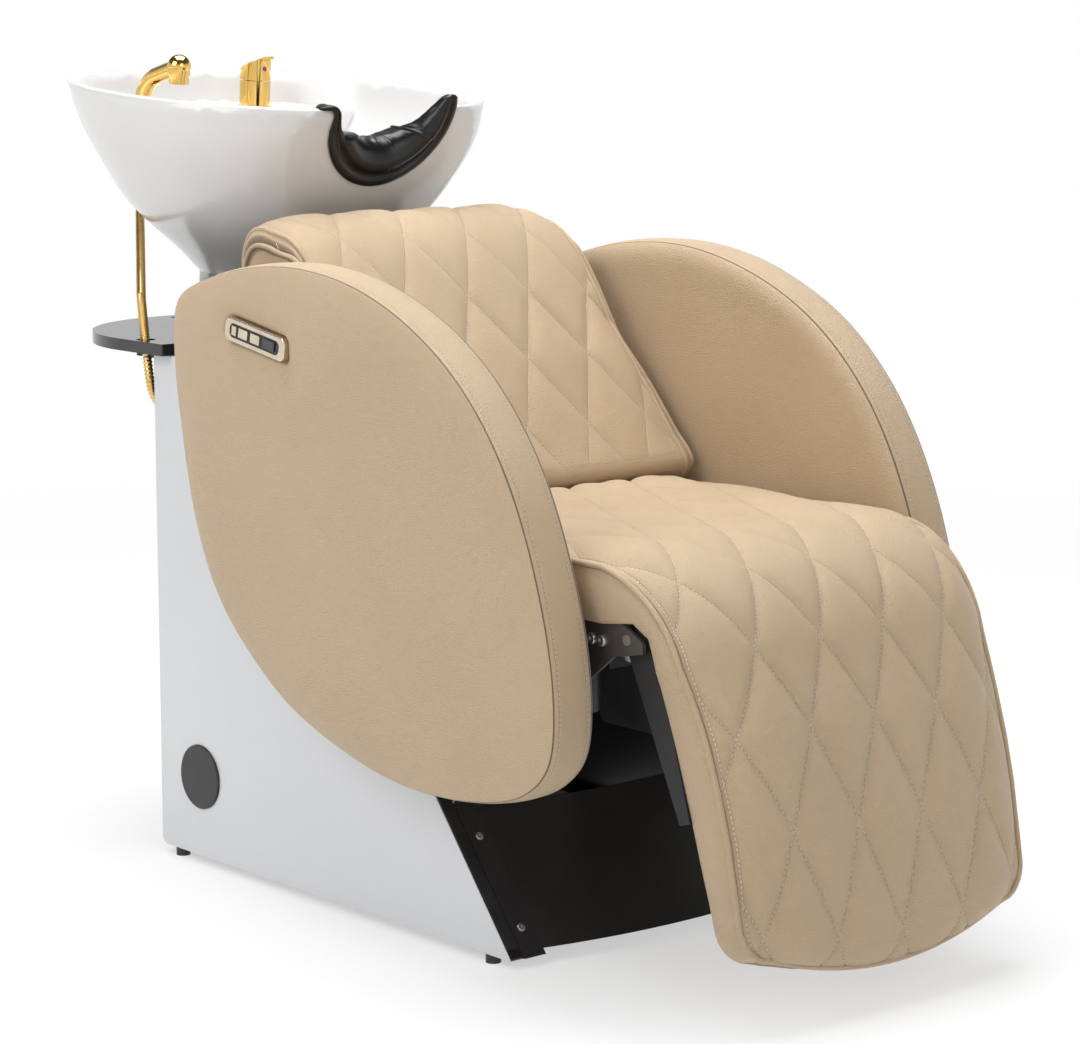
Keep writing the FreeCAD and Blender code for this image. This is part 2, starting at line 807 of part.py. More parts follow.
def routed(spot):
    """Point of a hose route, drawn for one height of the panels."""
    return point(spot[0], spot[1], spot[2] * panel_top_height / route_panel_top)


def hose_gate():
    """Where the spray hose enters the shelf's hole, and its slanted direction."""
    gate = point(-hose_hole_across, hose_hole_rear, panel_top_height + shelf_thickness)
    return gate, (gate - routed(spray_hose_turn)).normalize()


def make_shelf():
    top = panel_top_height + shelf_thickness
    corners = [(-shelf_half_width, -shelf_front, strip_thickness),
               (shelf_half_width, -shelf_front, strip_thickness),
               (shelf_half_width, shelf_rear, shelf_corner_radius),
               (-shelf_half_width, shelf_rear, shelf_corner_radius)]
    body = flat_plate(corners, (panel_top_height, top))
    cut = flat_plate(rectangle((-service_cut_half_width, service_cut_half_width),
                               (service_cut_front, service_cut_rear), service_cut_radius),
                     (panel_top_height - overrun, top + overrun))
    gate, into = hose_gate()
    middle = gate + into * (shelf_thickness / 2)
    hole = rod(point(middle.x, middle.y, panel_top_height - overrun), point(0, 0, 1),
               hose_hole_radius, shelf_thickness + 2 * overrun)
    keep("shelf", body.cut(cut).cut(hole))


def arm_pair(side):
    outer = side * (upright_half_spacing + arm_width / 2)
    return outer, outer - side * arm_width


def make_carrier():
    z_pair = (panel_top_height - arm_height, panel_top_height)
    arms = both_sides(lambda side: box_tube(arm_pair(side), (-rear_rail_setback, arm_reach), z_pair, 1))
    half = upright_half_spacing + arm_width / 2
    low = panel_top_height - arm_height
    base = block((-half, half), (pedestal_front, pedestal_rear), (low - pedestal_plate, low))
    ears = []
    for side in (-1, 1):
        x = side * ear_half_spacing
        corners = [(pivot_rear - ear_half_length, low - pedestal_plate, 0),
                   (pivot_rear + ear_half_length, low - pedestal_plate, 0),
                   (pivot_rear + ear_half_length / 2, pivot_height + 2 * pivot_radius, pivot_radius),
                   (pivot_rear - ear_half_length / 2, pivot_height + 2 * pivot_radius, pivot_radius)]
        ears.append(side_plate(corners, (x, x + side * pedestal_plate)))
    body = base.fuse(ears)
    bore = across_rod((-half, half), pivot_rear, pivot_height, pivot_radius + running_gap)
    keep("basin_carrier", *arms, body.cut(bore))
    reach = ear_half_spacing + pedestal_plate
    pin = across_rod((-reach - strip_thickness, reach + strip_thickness), pivot_rear, pivot_height,
                     pivot_radius)
    head = across_rod((reach + sheet_gap, reach + 2 * strip_thickness), pivot_rear, pivot_height,
                      2 * pivot_radius - strip_thickness)
    tail = across_rod((-reach - sheet_gap, -reach - 2 * strip_thickness), pivot_rear, pivot_height,
                      2 * pivot_radius - strip_thickness)
    keep("basin_tilt_pin", pin.fuse([head, tail]))


def tilted(shape):
    """Turns a level basin piece to the basin's resting tilt about its pivot, front down."""
    turned = shape.copy()
    turned.rotate(point(0, pivot_rear, pivot_height), point(1, 0, 0), rest_tilt)
    return turned


def oval_wire(centre, z, half_wide, half_long):
    """Closed oval a little fuller than an ellipse, drawn level at one height."""
    spots = []
    for index in range(oval_spots):
        turn = 2 * math.pi * index / oval_spots
        across = math.copysign(abs(math.cos(turn)) ** oval_fullness_share, math.cos(turn))
        ahead = math.copysign(abs(math.sin(turn)) ** oval_fullness_share, math.sin(turn))
        spots.append(point(half_wide * across, centre + half_long * ahead, z))
    curve = Part.BSplineCurve()
    curve.interpolate(Points=spots, PeriodicFlag=True)
    return Part.Wire([curve.toShape()])


def basin_loft(grow, top_extra, floor_lift):
    """Solid stack of ovals. grow widens every oval and floor_lift raises the lowest ones."""
    wires = []
    floor = rim_height - basin_depth + floor_lift
    for depth, draw, shift in zip(basin_depth_shares, basin_draw_shares, basin_shift_shares):
        z = rim_height - depth * (rim_height - floor)
        inset = draw * basin_half_width
        wires.append(oval_wire(basin_centre + shift * basin_shift, z, basin_half_width - inset + grow,
                               basin_half_length - inset + grow))
    if top_extra > 0:
        lid = wires[0].copy()
        lid.translate(point(0, 0, top_extra))
        wires.insert(0, lid)
        low = Part.makeLoft(wires[1:], True, False)
        return low.fuse(Part.makeLoft(wires[:2], True, True))
    return Part.makeLoft(wires, True, False)


def front_waste(grow):
    """Wedge in front of the basin's flattened face, beside and below the neck notch."""
    top = rim_height + 2 * basin_wall
    low = rim_height - basin_depth
    far = -2 * basin_half_length
    corners = [(-front_flat - grow - front_flat_lean_share * (top - rim_height), top, 0),
               (-front_flat - grow - front_flat_lean_share * (low - rim_height), low, 0), (far, low, 0),
               (far, top, 0)]
    return side_plate(corners, (-basin_half_length, basin_half_length))


def basin_level(grow):
    """Basin before tilting. A positive grow gives a fatter copy for cutting soft pieces clear."""
    outer = basin_loft(grow, 0, -grow)
    inner = basin_loft(-basin_wall - grow, overrun, basin_floor + grow).cut(front_waste(-basin_wall - grow))
    deck_top = rim_height - deck_drop + grow
    reach = 2 * basin_half_length
    deck = block((-reach, reach), (deck_front - grow, reach), (0, deck_top))
    hollow = inner.cut(deck)
    body = outer.cut(hollow)
    pocket_y = (deck_front + deck_thickness, deck_front + deck_thickness + pocket_length)
    pocket = block((-pocket_half_width, pocket_half_width), pocket_y, (0, deck_top - deck_thickness))
    body = body.cut(pocket)
    notch = rod(point(0, -reach, rim_height - notch_drop), point(0, 1, 0), notch_radius - grow,
                reach + basin_centre - basin_wall)
    upper = block((-notch_radius + grow, notch_radius - grow), (-reach, basin_centre - basin_wall),
                  (rim_height - notch_drop, rim_height + overrun))
    cut_to = block((-reach, reach), (-reach, -basin_half_length / 4), (0, 2 * rim_height))
    return body.cut(notch.fuse(upper).common(cut_to)).cut(front_waste(grow))


def make_basin():
    body = basin_level(0)
    floor = rim_height - basin_depth
    ring = rod(point(0, pivot_rear, floor - foot_ring_height), point(0, 0, 1), foot_ring_radius,
               foot_ring_height + basin_floor)
    core = rod(point(0, pivot_rear, floor - foot_ring_height - overrun), point(0, 0, 1),
               foot_ring_radius - foot_ring_wall,
               foot_ring_height + overrun)
    bowl_inside = basin_loft(-basin_wall, overrun, basin_floor)
    body = body.fuse(ring.cut(core).cut(bowl_inside))
    holes = [rod(point(0, waste_rear, 0), point(0, 0, 1), waste_hole_radius, rim_height)]
    holes.append(rod(point(0, waste_rear, floor + basin_floor), point(0, 0, 1),
                     waste_flange_radius + running_gap, waste_flange_radius))
    for side in (-1, 1):
        holes.append(rod(point(side * tap_half_spacing, tap_rear,
                               rim_height - deck_drop - deck_thickness - overrun),
                         point(0, 0, 1), tap_hole_radius, deck_thickness + 2 * overrun))
    body = body.cut(Part.makeCompound(holes))
    keep("basin", tilted(body))


def make_tilt_cradle():
    """Steel plate under the basin's foot ring, with two ears that turn on the tilt pin."""
    top = rim_height - basin_depth - foot_ring_height
    disc = rod(point(0, pivot_rear, top - cradle_plate), point(0, 0, 1), foot_ring_radius, cradle_plate)
    ears = []
    for side in (-1, 1):
        outer = side * (ear_half_spacing - cradle_play)
        corners = rectangle((pivot_rear - cradle_ear_drop, pivot_rear + cradle_ear_drop),
                            (pivot_height - cradle_ear_drop, top - cradle_plate / 2), 0)
        ears.append(side_plate(corners, (outer, outer - side * pedestal_plate)))
    bore = across_rod((-ear_half_spacing, ear_half_spacing), pivot_rear, pivot_height,
                      pivot_radius + running_gap)
    keep("tilt_cradle", tilted(disc.fuse(ears).cut(bore)))


def neck_ring(y_pair, radius_pair, sweep, edge, lift):
    """Part of a ring about an axis above the notch's own, centred on its lowest point."""
    axis_z = rim_height - notch_drop + lift
    corners = rectangle((-y_pair[0], -y_pair[1]), (axis_z - radius_pair[0], axis_z - radius_pair[1]), edge)
    face = Part.Face(rounded_wire(corners, lambda u, v: point(0, u, v)))
    face.rotate(point(0, 0, axis_z), point(0, 1, 0), -sweep / 2)
    return face.revolve(point(0, 0, axis_z), point(0, 1, 0), sweep)


def make_neck_rest():
    liner = neck_ring((neck_front, neck_rear), (neck_liner_radius, neck_lip_radius), neck_sweep, 0, 0)
    liner = liner.common(basin_loft(neck_lip_thickness, basin_wall, 0)).cut(front_waste(neck_lip_thickness))
    pad_front = front_flat - neck_pad_inset
    pad = neck_ring((pad_front, neck_rear + neck_pad_inset),
                    (neck_pad_radius, neck_pad_radius + neck_pad_lift + neck_edge_round),
                    neck_pad_sweep, neck_edge_round, neck_pad_lift)
    hollow = rod(point(0, -neck_front, rim_height - notch_drop), point(0, 1, 0),
                 neck_liner_radius + neck_edge_round / 2, neck_front - neck_rear)
    body = liner.fuse(pad.common(hollow))
    body = body.cut(front_waste(neck_lip_thickness)).cut(basin_level(neck_gap))
    solids = sorted(body.Solids, key=lambda solid: solid.Volume)
    keep("neck_rest", tilted(solids[-1]))


def deck_height():
    return rim_height - deck_drop


def make_mixer():
    top = deck_height()
    foot = point(tap_half_spacing, tap_rear, top)
    flange = rod(foot, point(0, 0, 1), mixer_flange_radius, mixer_flange_height)
    body = rod(foot, point(0, 0, 1), mixer_radius, mixer_body_height)
    stem = rod(foot + point(0, 0, mixer_body_height - stem_depth), point(0, 0, 1), mixer_stem_radius,
               stem_depth + lever_gap + strip_thickness)
    shank = rod(foot - point(0, 0, shank_length), point(0, 0, 1), shank_radius, shank_length)
    nut = rod(foot - point(0, 0, deck_thickness + 2 * pedestal_plate), point(0, 0, 1),
              mixer_flange_radius - strip_thickness,
              2 * pedestal_plate)
    keep("mixer_body",
         tilted(flange.fuse([body, shank]).cut(rod(foot + point(0, 0, mixer_body_height - stem_depth),
                                                                  point(0, 0, 1),
                                                   mixer_stem_radius + running_gap, 2 * stem_depth))))
    keep("mixer_cartridge", tilted(stem))
    bore = rod(foot - point(0, 0, shank_length + overrun), point(0, 0, 1), shank_radius + running_gap,
               2 * shank_length)
    keep("mixer_nut", tilted(nut.cut(bore)))
    base = top + mixer_body_height + lever_gap
    x, y = tap_half_spacing, tap_rear
    cap = rod(point(x, y, base), point(0, 0, 1), mixer_radius, lever_height)
    slope = side_plate([(y - mixer_radius - overrun, base + lever_height, 0),
                        (y - mixer_radius - overrun, rim_height + basin_depth, 0),
                        (y + mixer_radius + overrun, rim_height + basin_depth, 0),
                        (y + mixer_radius + overrun, base + lever_low_height, 0)],
                       (x - 2 * mixer_radius, x + 2 * mixer_radius))
    tip_corners = [(y - mixer_radius / 2, base + lever_height - lever_tip_thickness - strip_thickness, 0),
                   (y - mixer_radius / 2, base + lever_height - 2 * strip_thickness, 0),
                   (y - mixer_radius - lever_tip_length, base + lever_height + strip_thickness,
                    strip_thickness / 2),
                   (y - mixer_radius - lever_tip_length, base + lever_height - strip_thickness,
                    strip_thickness / 2)]
    tip = side_plate(tip_corners, (x - lever_tip_width / 2, x + lever_tip_width / 2))
    bore = rod(point(x, y, base - overrun), point(0, 0, 1), mixer_stem_radius + lever_bore_gap,
               overrun + lever_gap + strip_thickness + strip_thickness)
    heel = across_rod((x - lever_heel_half, x + lever_heel_half), y + mixer_radius - lever_gap, base,
                      lever_heel_radius)
    lever = cap.cut(slope).fuse([tip, heel]).cut(bore)
    dot_z = base + lever_height / 2
    seat = rod(point(x, y - mixer_radius - overrun, dot_z), point(0, 1, 0), dot_radius + running_gap,
               overrun + 2 * dot_depth)
    dot = rod(point(x, y - mixer_radius - dot_depth / 4, dot_z), point(0, 1, 0), dot_radius, 2 * dot_depth)
    keep("mixer_lever", tilted(lever.cut(seat)))
    keep("mixer_marker_dot", tilted(dot))


def make_spray():
    top = deck_height()
    foot = point(-tap_half_spacing, tap_rear, top)
    clear = spray_handle_radius + 10 * running_gap
    collar = rod(foot, point(0, 0, 1), holder_radius, holder_height)
    tube = rod(foot - point(0, 0, deck_thickness + 2 * pedestal_plate), point(0, 0, 1),
               tap_hole_radius - sheet_gap,
               deck_thickness + 2 * pedestal_plate)
    bore = rod(foot - point(0, 0, shank_length), point(0, 0, 1), clear, 2 * shank_length)
    keep("spray_holder", tilted(collar.fuse(tube).cut(bore)))
    start = foot - point(0, 0, spray_insert_length - holder_height)
    straight = rod(start, point(0, 0, 1), spray_handle_radius, spray_insert_length)
    bend_at = start + point(0, 0, spray_insert_length)
    centre = bend_at - point(0, spray_bend_radius, 0)
    ring = Part.Face(Part.Wire([Part.makeCircle(spray_handle_radius, bend_at, point(0, 0, 1))]))
    bend = ring.revolve(centre, point(1, 0, 0), spray_bend_angle)
    turn = math.radians(spray_bend_angle)
    end = centre + point(0, spray_bend_radius * math.cos(turn), spray_bend_radius * math.sin(turn))
    run = point(0, -math.sin(turn), math.cos(turn))
    neck = rod(end, run, spray_handle_radius, spray_reach)
    dome_at = end + run * spray_reach
    dome = Part.makeSphere(spray_head_radius, dome_at)
    nozzle = rod(dome_at, point(0, 0, -1), spray_nozzle_radius, spray_head_radius + spray_nozzle_length / 2)
    ring_lip = rod(dome_at, point(0, 0, -1), spray_nozzle_radius + strip_thickness,
                   spray_head_radius * 3 / 4)
    mouth = rod(dome_at - point(0, 0, spray_head_radius), point(0, 0, -1),
                spray_nozzle_radius - strip_thickness, 2 * spray_head_radius)
    keep("spray_head", tilted(straight.fuse([bend, neck, dome, ring_lip, nozzle]).cut(mouth)))


def tube_along(name, spots, radius, bore):
    """Hose along hand-chosen points: straight runs joined by the largest arcs that fit."""
    edges = []
    radii = []
    here = spots[0]
    for index in range(1, len(spots) - 1):
        before = spots[index - 1] - spots[index]
        after = spots[index + 1] - spots[index]
        turn = math.pi - before.getAngle(after)
        take = hose_arc_share * min(before.Length, after.Length)
        radii.append(take / math.tan(turn / 2))
        first = spots[index] + before.normalize() * take
        last = spots[index] + after.normalize() * take
        bisector = (before + after).normalize()
        reach = radii[-1] / math.cos(turn / 2) - radii[-1]
        edges.append(Part.makeLine(here, first))
        edges.append(Part.Arc(first, spots[index] + bisector * reach, last).toShape())
        here = last
    edges.append(Part.makeLine(here, spots[-1]))
    path = Part.Wire(edges)
    start = spots[1] - spots[0]
    ring = Part.Wire([Part.makeCircle(radius, spots[0], start)])
    body = path.makePipeShell([ring], True, False)
    if bore > 0:
        body = body.cut(path.makePipeShell([Part.Wire([Part.makeCircle(bore, spots[0], start)])], True,
                                           False))
    section = math.pi * (radius ** 2 - bore ** 2)
    print(name, "length", round(path.Length), "tightest", round(min(radii)), "volume share",
          round(body.Volume / (section * path.Length), 4))
    return body


def ribbed_hose(start, end):
    """Straight stretch of ribbed metal hose with its bore, four rings to a rib."""
    run = end - start
    count = int(run.Length / rib_pitch)
    pitch = run.Length / count
    run.normalize()
    rings = [(0, hose_radius - rib_depth)]
    for index in range(count):
        for share, low in rib_ring_shares:
            rings.append(((index + share) * pitch, hose_radius - low * rib_depth))
    wires = []
    for length, radius in rings:
        wires.append(Part.Wire([Part.makeCircle(radius, start + run * length, run)]))
    body = Part.makeLoft(wires, True, True)
    print("spray_hose_upper ribs", count)
    return body.cut(rod(start - run, run, hose_bore, pitch * count + 2))


def tilted_point(x, y, z):
    vertex = Part.Vertex(x, y, z)
    return tilted(vertex).Point


def make_hoses():
    down = tilted_point(0, 0, 0) - tilted_point(0, 0, 1)
    top = tilted_point(-tap_half_spacing, tap_rear, deck_height() - spray_insert_length + holder_height)
    keep("spray_gland", rod(top, down, gland_radius, gland_length))
    top = top + down * gland_length
    bend = top + down * spray_hose_drop
    turn = routed(spray_hose_turn)
    gate, into = hose_gate()
    across = (turn - bend).normalize()
    first = bend + across * straight_hose_start
    last = turn - across * straight_hose_end
    upper = tube_along("spray_hose_upper top", [top, bend, first], hose_radius, hose_bore)
    lower = tube_along("spray_hose_upper foot", [last, turn, gate], hose_radius, hose_bore)
    keep("spray_hose_upper", upper.fuse([ribbed_hose(first, last), lower]))
    under = gate + into * (gate - turn).Length * hose_gate_share
    end = tilted_point(tap_half_spacing, tap_rear, deck_height() - shank_length)
    middle = [routed(spot) for spot in spray_hose_route]
    spots = [gate, under] + middle + [end + down * straight_hose_start, end]
    keep("spray_hose_lower", tube_along("spray_hose_lower", spots, hose_radius, hose_bore))


def make_waste():
    floor = rim_height - basin_depth + basin_floor
    head = point(0, waste_rear, floor)
    flange = rod(head, point(0, 0, 1), waste_flange_radius, waste_flange_height)
    pipe = rod(head, point(0, 0, -1), waste_pipe_radius, waste_pipe_length + basin_floor)
    bore = rod(head + point(0, 0, overrun), point(0, 0, -1), waste_pipe_radius - waste_pipe_wall,
               waste_pipe_length + basin_floor + 2 * overrun)
    keep("waste_fitting", tilted(flange.fuse(pipe).cut(bore)))
    down = tilted_point(0, 0, 0) - tilted_point(0, 0, 1)
    outlet = tilted_point(0, waste_rear, floor - waste_pipe_length - basin_floor)
    spots = [outlet, outlet + down * straight_hose_start] + [routed(spot) for spot in waste_hose_route]
    keep("waste_hose", tube_along("waste_hose", spots, waste_hose_radius, waste_hose_bore))


def make_seat():
    slab = Slab(point(0, 0, seat_bottom), point(0, 1, 0), point(0, 0, 1))
    outline = [(-seat_half_width, -seat_front, 0), (seat_half_width, -seat_front, 0),
               (seat_half_width, -seat_rear, pad_corner_radius),
               (-seat_half_width, -seat_rear, pad_corner_radius)]
    layers = pad_layers(seat_boxing, seat_crown)
    wires = []
    for t, inset in layers:
        low = inset_corners(outline, inset)
        low[0] = (low[0][0], -seat_front, 0)
        low[1] = (low[1][0], -seat_front, 0)
        wires.append(slab.wire(low, t))
    pad = Part.makeLoft(wires, True, True)
    board_low = side_plate_top - seat_bottom
    board_outline = [(-seat_half_width + board_inset, -seat_front + board_inset, 0),
                     (seat_half_width - board_inset, -seat_front + board_inset, 0),
                     (seat_half_width - board_inset, -seat_rear - board_inset, 0),
                     (-seat_half_width + board_inset, -seat_rear - board_inset, 0)]
    board_outline = [(min(max(u, -panel_inner_half), panel_inner_half), s, r) for u, s, r in board_outline]
    board = slab.board(board_outline, (board_low, board_low + board_thickness))
    pocket_outline = rectangle((-panel_inner_half - sheet_gap, panel_inner_half + sheet_gap),
                               (-seat_front - overrun, -seat_rear - board_inset + soft_gap), 0)
    pocket = slab.board(pocket_outline, (-overrun, board_low + board_thickness + soft_gap))
    slots = [block((side * (panel_inner_half + soft_gap),
                    side * (panel_inner_half - side_plate_thickness - soft_gap)),
                   (-seat_front - overrun, -seat_rear + overrun),
                   (seat_bottom - overrun, side_plate_top + soft_gap))
             for side in (-1, 1)]
    pad = pad.cut(Part.makeCompound([pocket] + slots))
    flat = inset_corners(outline, quilt_margin)
    keep("seat_cushion", quilted(pad, slab, flat, (seat_boxing, seat_boxing + seat_crown), seat_quilt_row))
    keep("seat_board", board)


def leg_slab():
    along = point(0, -math.sin(lean), -math.cos(lean))
    out = point(0, -math.cos(lean), math.sin(lean))
    return Slab(point(0, -knee_across, knee_height), along, out)


def leg_outline():
    """Leg rest seen from the front: tapered sides and a bowed lower edge."""
    return [(-leg_half_width_top, leg_start, 0), (leg_half_width_top, leg_start, 0),
            (leg_half_width_bottom, leg_end, leg_corner_radius), (0, leg_end + leg_bow, leg_bow_radius),
            (-leg_half_width_bottom, leg_end, leg_corner_radius)]


def leg_section(slab, run, half, seam, crest):
    """Closed section across the leg rest at one run down from the knee."""
    rise = crest - seam
    spots = [(seam_draw, leg_offset), (0, (leg_offset + seam) / 2), (seam_draw, seam)]
    spots += [(inset, seam + rise * share) for share, inset in crown_layers]
    left = [slab.at(-half + inset, run, t) for inset, t in spots]
    right = [slab.at(half - inset, run, t) for inset, t in reversed(spots)]
    ring = left + right
    return Part.makePolygon(ring + ring[:1])


def make_legrest():
    slab = leg_slab()
    outline = leg_outline()
    high = max(section[3] for section in leg_sections)
    pad = Part.makeLoft([leg_section(slab, *section) for section in leg_sections], True, True)
    pad = pad.common(slab.board(outline, (leg_offset, high + overrun)))
    half = leg_half_width_bottom - 2 * board_inset
    board_outline = rectangle((-half, half), (leg_start + board_inset, leg_end - board_inset),
                              panel_corner_radius)
    board = slab.board(board_outline, (leg_offset, leg_offset + board_thickness))
    pocket = slab.board(rectangle((-half - soft_gap, half + soft_gap),
                                  (leg_start + board_inset - soft_gap, leg_end - board_inset + soft_gap),
                                  panel_corner_radius),
                        (leg_offset - overrun, leg_offset + board_thickness + soft_gap))
    flat = inset_corners(outline, quilt_margin)
    low = leg_sections[-1][2]
    keep("legrest_cushion", quilted(pad.cut(pocket), slab, flat, (low, high), leg_quilt_row))
    keep("legrest_board", board)


def knee_wire(x, top, outer, low, shares):
    """Closed section of the knee roll at one place across, bulging between two seams."""
    back = -seat_front - soft_gap
    under = side_plate_top + strip_thickness
    crest = point(x, back, top)
    middle = point(x, back + (outer.y - back) * shares[0], outer.z + (top - outer.z) * shares[1])
    corners = [point(x, outer.y, outer.z), point(x, low.y, low.z),
               point(x, -side_plate_front - 4 * strip_thickness, knee_height + 4 * strip_thickness),
               point(x, -side_plate_front + strip_thickness, under), point(x, back, under), crest]
    edges = [Part.Arc(crest, middle, corners[0]).toShape()]
    for first, last in zip(corners, corners[1:]):
        edges.append(Part.makeLine(first, last))
    return Part.Wire(edges)


def make_knee():
    """Soft roll over the hinge between the seat and the leg rest."""
    slab = leg_slab()
    start = leg_start - soft_gap
    half, seam_t, crest_t = leg_sections[0][1:]
    low = slab.at(0, start, leg_offset)
    top = seat_bottom + seat_boxing
    wires = []
    for rise, inset in ((0, 0),) + crown_layers:
        outer = slab.at(0, start, seam_t + (crest_t - seam_t) * rise)
        shares = [side + (crown - side) * rise for side, crown in zip(knee_side_shares, knee_crown_shares)]
        row = (top + seat_crown * rise, outer, low, shares)
        wires += [knee_wire(inset - half, *row), knee_wire(half - inset, *row)]
    wires.sort(key=lambda wire: wire.BoundBox.XMin)
    keep("knee_roll", Part.makeLoft(wires, True, True))


def back_slab():
    angle = math.radians(back_lean)
    along = point(0, -math.sin(angle), -math.cos(angle))
    out = point(0, -math.cos(angle), math.sin(angle))
    front = point(0, -back_top_across, back_top_height)
    return Slab(front - out * back_thickness, along, out)


def back_outline(top):
    return [(-back_half_width_top, top, back_corner_radius), (back_half_width_top, top, back_corner_radius),
            (back_half_width_bottom, back_length, back_corner_radius / 2),
            (-back_half_width_bottom, back_length, back_corner_radius / 2)]


def make_back():
    slab = back_slab()
    rise = back_top_rise
    wires = [slab.wire(inset_corners(back_outline(share * rise), inset), t) for t, inset,
             share in shell_layers]
    rear = Part.makeLoft(wires, True, True)
    board = slab.board(inset_corners(back_outline(0), board_inset),
                       (shell_thickness + soft_gap, shell_thickness + soft_gap + board_thickness))
    base = shell_thickness + board_thickness + 2 * soft_gap
    front = [(0, seam_draw, -rise * 2 / 3), (back_pad_thickness / 3, 0, -rise / 2),
             (back_pad_thickness * 2 / 3, 0, -rise / 4), (back_pad_thickness, seam_draw, 0)]
    front += [(back_pad_thickness + back_crown * share, inset, 0) for share, inset in crown_layers]
    wires = [slab.wire(inset_corners(back_outline(top), inset), base + t) for t, inset, top in front]
    pad = Part.makeLoft(wires, True, True)
    flat = inset_corners(back_outline(0), quilt_margin)
    face = base + back_pad_thickness
    keep("backrest_cushion", quilted(pad, slab, flat, (face, face + back_crown), back_quilt_row))
    keep("back_board", board)
    brackets, slots = [], []
    rear_face = -rear_rail_setback - upright_size - tie_depth
    for side in (-1, 1):
        x = side * (upright_half_spacing - pedestal_plate / 2)
        for grow in (0, soft_gap):
            board_top = slab.at(x, back_length * bracket_shares[0], shell_thickness + soft_gap)
            board_low = slab.at(x, back_length * bracket_shares[1], shell_thickness + soft_gap)
            corners = [(rear_face, tie_top - tie_height, 0), (rear_face, tie_top, 0),
                       (board_top.y, board_top.z, 0), (board_low.y, board_low.z, 0)]
            if grow:
                corners = inset_corners(corners, -grow)
                slots.append(side_plate(corners, (x - grow, x + pedestal_plate + grow)))
            else:
                brackets.append(side_plate(corners, (x, x + pedestal_plate)))
    keep("back_brackets", *brackets)
    keep("backrest_shell", rear.cut(Part.makeCompound(slots)))


def armrest_wire(x, inset):
    length = armrest_front - armrest_rear
    height = armrest_top - armrest_bottom
    middle_y = -(armrest_front + armrest_rear) / 2
    middle_z = (armrest_top + armrest_bottom) / 2
    spots = []
    for share_y, share_z in armrest_outline_shares:
        y = -armrest_rear - share_y * length
        z = armrest_bottom + share_z * height
        y = middle_y + (y - middle_y) * (1 - 2 * inset / length)
        z = middle_z + (z - middle_z) * (1 - 2 * inset / height)
        spots.append(point(x, y, z))
    curve = Part.BSplineCurve()
    curve.interpolate(Points=spots, PeriodicFlag=True)
    return Part.Wire([curve.toShape()])


def armrest_stack(side, layers):
    return Part.makeLoft([armrest_wire(side * x, inset) for x, inset in layers], True, True)


def armrest_bolt_holes(side, clearance, x_pair):
    holes = [across_rod((side * x_pair[0], side * x_pair[1]), -y, z, bolt_radius + clearance) for y,
             z in armrest_bolt_places]
    return Part.makeCompound(holes)


def make_armrests(frame_bolts):
    inner_face = panel_outer_half + 2 * soft_gap
    outer_face = armrest_outer_seam + armrest_face_crown
    core_end = armrest_core_start + armrest_core_thickness
    crown = armrest_face_crown
    inners, cores, bolts = [], [], []
    for side, name in ((-1, "right"), (1, "left")):
        inner = armrest_stack(side, ((inner_face, 3 * crown), (inner_face + crown / 3, crown),
                                     (armrest_inner_seam, 0),
                                     (armrest_core_start - soft_gap, -crown / 5)))
        inner = inner.cut(armrest_bolt_holes(side, soft_gap,
                                             (panel_outer_half, armrest_core_start + overrun)))
        inners.append(inner)
        core = armrest_stack(side,
                             ((armrest_core_start, armrest_core_inset), (core_end, armrest_core_inset)))
        core = core.cut(armrest_bolt_holes(side, running_gap, (panel_outer_half, core_end + overrun)))
        cores.append(core)
        outer = armrest_stack(side, ((core_end + soft_gap, -crown / 5), (armrest_outer_seam, 0),
                                     (outer_face - crown / 3, crown),
                                     (outer_face, 3 * crown)))
        if side < 0:
            outer = outer.cut(key_pocket())
        keep("armrest_outer_pad_" + name, outer)
        for index, (y, z) in enumerate(armrest_bolt_places):
            seat = panel_inner_half - (side_plate_thickness if index == 2 else 0)
            bolts.append(domed_bolt(side * seat, -side, -y, z, core_end - seat - strip_thickness))
    keep("armrest_inner_pads", *inners)
    keep("armrest_cores", *cores)
    keep("frame_bolts", *frame_bolts, *bolts)


def key_face():
    return -armrest_outer_seam - armrest_face_crown


def key_place(u, v, x):
    """Point on the key panel: u runs forward along it and v up across it."""
    turn = math.radians(key_panel_turn)
    y = -key_panel_setback - u * math.cos(turn) - v * math.sin(turn)
    z = key_panel_height - u * math.sin(turn) + v * math.cos(turn)
    return point(x, y, z)


def key_block(u_pair, v_pair, radius, x_pair):
    x = max(x_pair)
    corners = rectangle(u_pair, v_pair, radius)
    return plate(corners, lambda u, v: key_place(u, v, x), point(-abs(x_pair[1] - x_pair[0]), 0, 0))


def key_pocket():
    face = key_face()
    half, tall = bezel_length / 2 + soft_gap, bezel_width / 2 + soft_gap
    return key_block((-half, half), (-tall, tall), bezel_round,
                     (face + bezel_depth + soft_gap, face - overrun))


